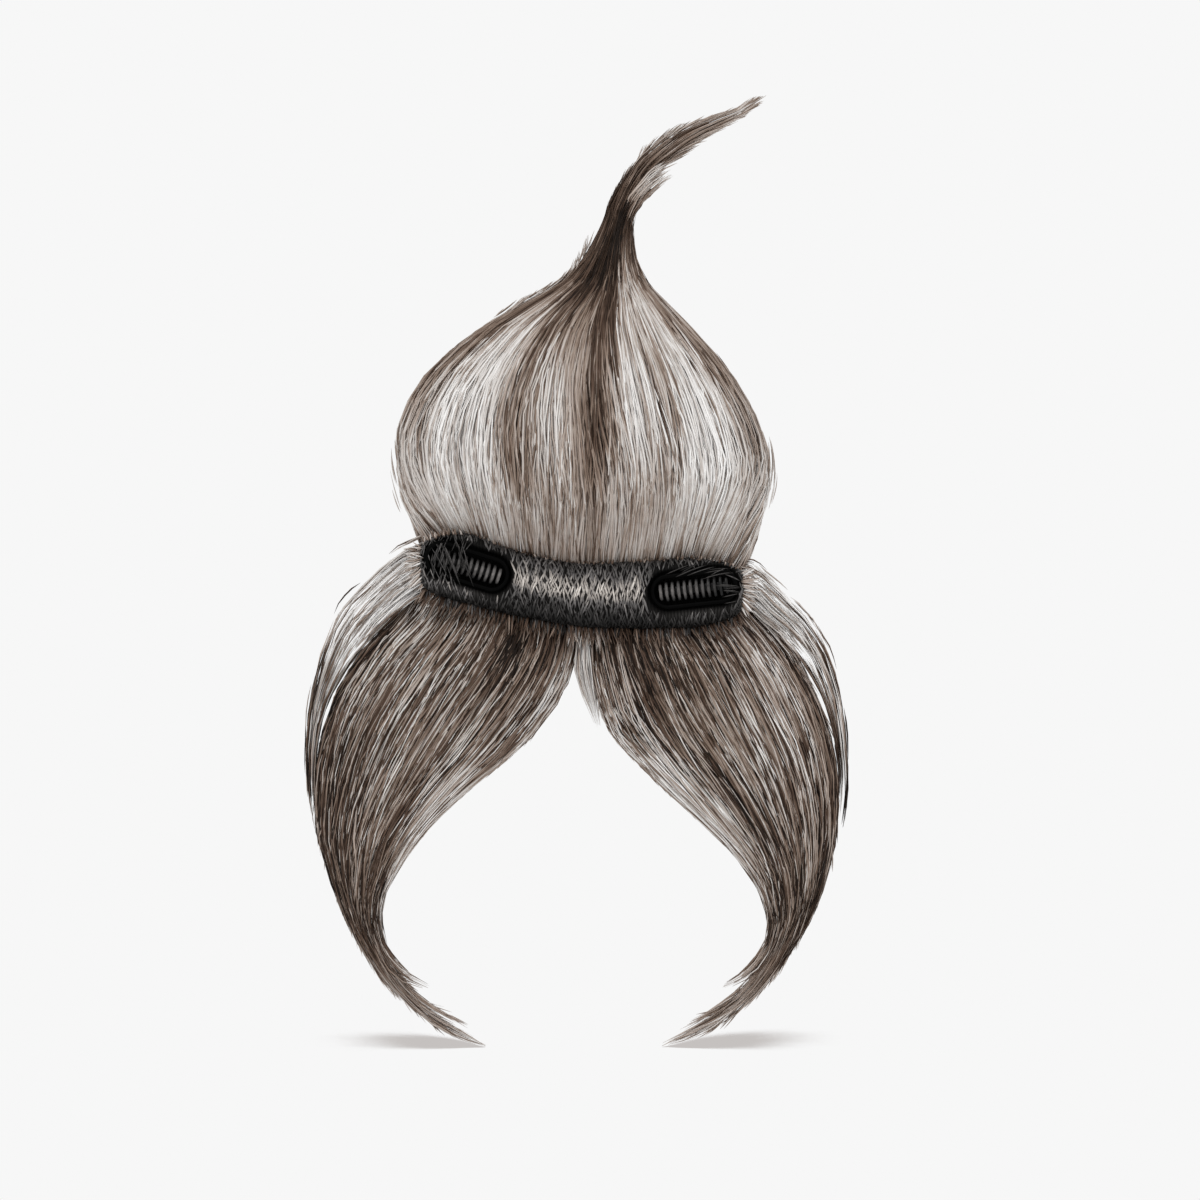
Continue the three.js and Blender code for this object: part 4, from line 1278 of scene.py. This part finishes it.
def frame_place(clip):
    """The enamelled loop of a clip: a rounded bar along a stadium-shaped line."""
    straight = (CLIP_LENGTH - CLIP_WIDTH) / 2
    radius = CLIP_WIDTH / 2 - CLIP_BAR / 2
    arc = math.pi * radius
    quarter = math.pi / 2
    below_end, right_end, above_end = np.cumsum([2 * straight, arc, 2 * straight])

    def place(turn, way):
        far = way * (4 * straight + 2 * arc)
        flat = np.zeros_like(far)
        stretches = [far < below_end, far < right_end, far < above_end]
        angle = np.select(stretches, [flat - quarter, (far - below_end) / radius - quarter, flat + quarter],
                          (far - above_end) / radius + quarter)
        middle = np.select(stretches, [far - straight, flat + straight, straight - (far - right_end)],
                           -straight)
        bar = 2 * math.pi * turn
        reach = radius + squarish(np.cos(bar), CLIP_SQUARENESS) * CLIP_BAR / 2
        high = squarish(np.sin(bar), CLIP_SQUARENESS) * CLIP_THICKNESS / 2
        return on_clip(clip, middle + reach * np.cos(angle), reach * np.sin(angle),
                       high - CLIP_RECESS - CLIP_THICKNESS / 2)

    return place


def grip_mesh(clip):
    """The comb's ribs: arched rounded bars side by side on one spine, smaller at the loop's round ends."""
    form = bmesh.new()
    tones = form.verts.layers.float.new("tone")
    pitch = GRIP_LENGTH / GRIP_RIBS
    spine = GRIP_DEPTH * SPINE_DEPTH
    bars = [(0.0, GRIP_LENGTH - pitch, GRIP_WIDTH * SPINE_WIDTH, spine, spine)]
    for i in range(GRIP_RIBS):
        along = (i + 0.5) * pitch - GRIP_LENGTH / 2
        past = max(abs(along) - (CLIP_LENGTH - CLIP_WIDTH) / 2, 0)
        room = min(math.sqrt(max(GRIP_END_RADIUS ** 2 - past ** 2, 0.5)) / GRIP_END_RADIUS, 1)
        bars.append((along, RIB_SHARE * pitch, GRIP_WIDTH * room, GRIP_DEPTH * (0.55 + 0.45 * room), 0.0))
    for along, length, wide, deep, sink in bars:
        made = bmesh.ops.create_cube(form, size=1.0)["verts"]
        bmesh.ops.scale(form, vec=(length, wide, deep), verts=made)
        bmesh.ops.translate(form, vec=(along, 0, -sink - deep / 2 - GRIP_RISE), verts=made)
        edges = list({edge for vert in made for edge in vert.link_edges})
        bmesh.ops.bevel(form, geom=edges, offset=RIB_ROUNDING * min(length, deep), offset_type="OFFSET",
                        affect="EDGES", segments=5, profile=0.5, material=-1)
    bmesh.ops.subdivide_edges(form, edges=[edge for edge in form.edges if edge.calc_length() > 1.0], cuts=3,
                              use_grid_fill=True)
    verts = list(form.verts)
    points = np.array([vert.co for vert in verts])
    share = np.abs(points[:, 1]) / (GRIP_WIDTH / 2)
    arched = points[:, 2] - RIB_ARCH * share ** 2 * step(-GRIP_DEPTH, -GRIP_RISE, points[:, 2])
    # Painted highlight on the crests of the ribs, kept as the tone of each place.
    crest_highlight = step(-GRIP_RISE - HIGHLIGHT_DEPTH, -GRIP_RISE, arched) * (1 - HIGHLIGHT_LOSS * share)
    crest_highlight = crest_highlight * np.interp(points[:, 0], *zip(*RIB_HIGHLIGHT[clip[0]]))
    placed = on_clip(clip, points[:, 0], points[:, 1], arched) * MM
    for vert, point, shade in zip(verts, placed, crest_highlight):
        vert.co = point
        vert[tones] = shade
    return smooth_mesh(f"{clip[0]}_ribs", form)


enamel = black_enamel("black_enamel")
rubber = grip_rubber("moulded_black_rubber")
for clip in CLIPS:
    name = clip[0]
    finish_piece(f"{name}_loop", bent_grid(f"{name}_loop", *LOOP_GRID, frame_place(clip)), enamel,
                 [f"{name}_frame"])
    finish_piece(f"{name}_ribs", grip_mesh(clip), rubber, [f"{name}_grip"])

# Camera, floor and light.
VIEW_DISTANCE = 1.6
VIEW_ELEVATION = math.radians(5)
VIEW_WIDTH = 0.4  # metres across the picture at the band's face
VIEW_CENTRE = (0.006, 0.0, -0.0013)
camera = bpy.data.objects.new("camera", bpy.data.cameras.new("camera"))
bpy.context.scene.collection.objects.link(camera)
camera.data.sensor_width = 36.0
camera.data.lens = camera.data.sensor_width * VIEW_DISTANCE / VIEW_WIDTH
camera.location = (VIEW_CENTRE[0], VIEW_CENTRE[1] - VIEW_DISTANCE * math.cos(VIEW_ELEVATION),
                   VIEW_CENTRE[2] + VIEW_DISTANCE * math.sin(VIEW_ELEVATION))
camera.rotation_euler = (math.pi / 2 - VIEW_ELEVATION, 0, 0)
bpy.context.scene.camera = camera

PAPER = "#f7f7f7"
FLOOR_RADIUS = 8.0  # metres
floor_form = bmesh.new()
bmesh.ops.create_circle(floor_form, cap_ends=True, radius=FLOOR_RADIUS, segments=64)
bmesh.ops.translate(floor_form, vec=(0, 0, FLOOR_Z * MM), verts=floor_form.verts)
floor_mesh = bpy.data.meshes.new("floor")
floor_form.to_mesh(floor_mesh)
floor_form.free()
floor = bpy.data.objects.new("floor", floor_mesh)
bpy.context.scene.collection.objects.link(floor)

# The floor glows evenly white, with a painted shadow close under the hair that ambient occlusion works out.
# The occlusion is taken about a normal that leans in and a little to the front, so each shadow falls
# outwards and back.
INWARD = 10.0  # lean of the painted shadow's occlusion normal towards the middle, for each metre from it
FORWARD = 0.22  # its lean to the front
SHADOW_HEIGHT = 0.05  # metres above the floor in which hair casts the painted shadow
SHADOW_PLACE = (0.06, 0.0, -FLOOR_Z * MM)  # the painted shadows are worked out only round here, on either side
SHADOW_REACH = 0.085
paper = bpy.data.materials.new("glowing_table_with_painted_shadow")
paper.use_nodes = True
paper_tree = paper.node_tree
paper_tree.nodes.remove(paper_tree.nodes["Principled BSDF"])
place = add(paper_tree, "TexCoord", {}).outputs["Object"]
inward = add(paper_tree, "VectorMath", {0: place, 1: (-INWARD, 0.0, 0.0)}, operation="MULTIPLY")
lean = add(paper_tree, "VectorMath", {0: inward.outputs["Vector"], 1: (0.0, -FORWARD, 1.0)},
           operation="ADD")
facing = add(paper_tree, "VectorMath", {0: lean.outputs["Vector"]}, operation="NORMALIZE")
near = add(paper_tree, "AmbientOcclusion", {"Distance": SHADOW_HEIGHT, "Normal": facing.outputs["Vector"]},
           samples=128)
# Painted shadow: the floor's glow darkens where the hair is near.
shade = add(paper_tree, "ValToRGB", {"Fac": near.outputs["AO"]}, [(0.885, "#c5c1bf"), (0.905, PAPER)])
painted_shadow = add(paper_tree, "Emission", {"Color": shade.outputs["Color"]})
plain = add(paper_tree, "Emission", {"Color": linear(PAPER)})
either = add(paper_tree, "VectorMath", {0: place}, operation="ABSOLUTE")
off = add(paper_tree, "VectorMath", {0: either.outputs["Vector"], 1: SHADOW_PLACE}, operation="DISTANCE")
close = add(paper_tree, "Math", {0: off.outputs["Value"], 1: SHADOW_REACH}, operation="LESS_THAN")
glow = add(paper_tree, "MixShader", {"Fac": close.outputs["Value"], 1: plain.outputs["Emission"],
                                     2: painted_shadow.outputs["Emission"]})
paper_tree.links.new(glow.outputs["Shader"], paper_tree.nodes["Material Output"].inputs["Surface"])
floor_mesh.materials.append(paper)

world = bpy.data.worlds.new("studio")
bpy.context.scene.world = world
world.use_nodes = True
world.node_tree.nodes["Background"].inputs["Color"].default_value = linear(PAPER)
bpy.context.scene.view_settings.view_transform = "Standard"

LIGHTS = [  # name, place, size and power: softboxes round the piece
    ("key", (-0.7, -1.1, 0.9), 0.5, 5.0),
    ("fill", (0.9, -0.9, 0.3), 0.7, 2.0),
    ("back", (0.3, 1.2, 0.8), 0.6, 3.0),
]
for name, place, size, power in LIGHTS:
    lamp = bpy.data.lights.new(name, "AREA")
    lamp.size = size
    lamp.energy = power
    light = bpy.data.objects.new(name, lamp)
    light.location = place
    light.rotation_euler = (-light.location).to_track_quat("-Z", "Y").to_euler()
    bpy.context.scene.collection.objects.link(light)
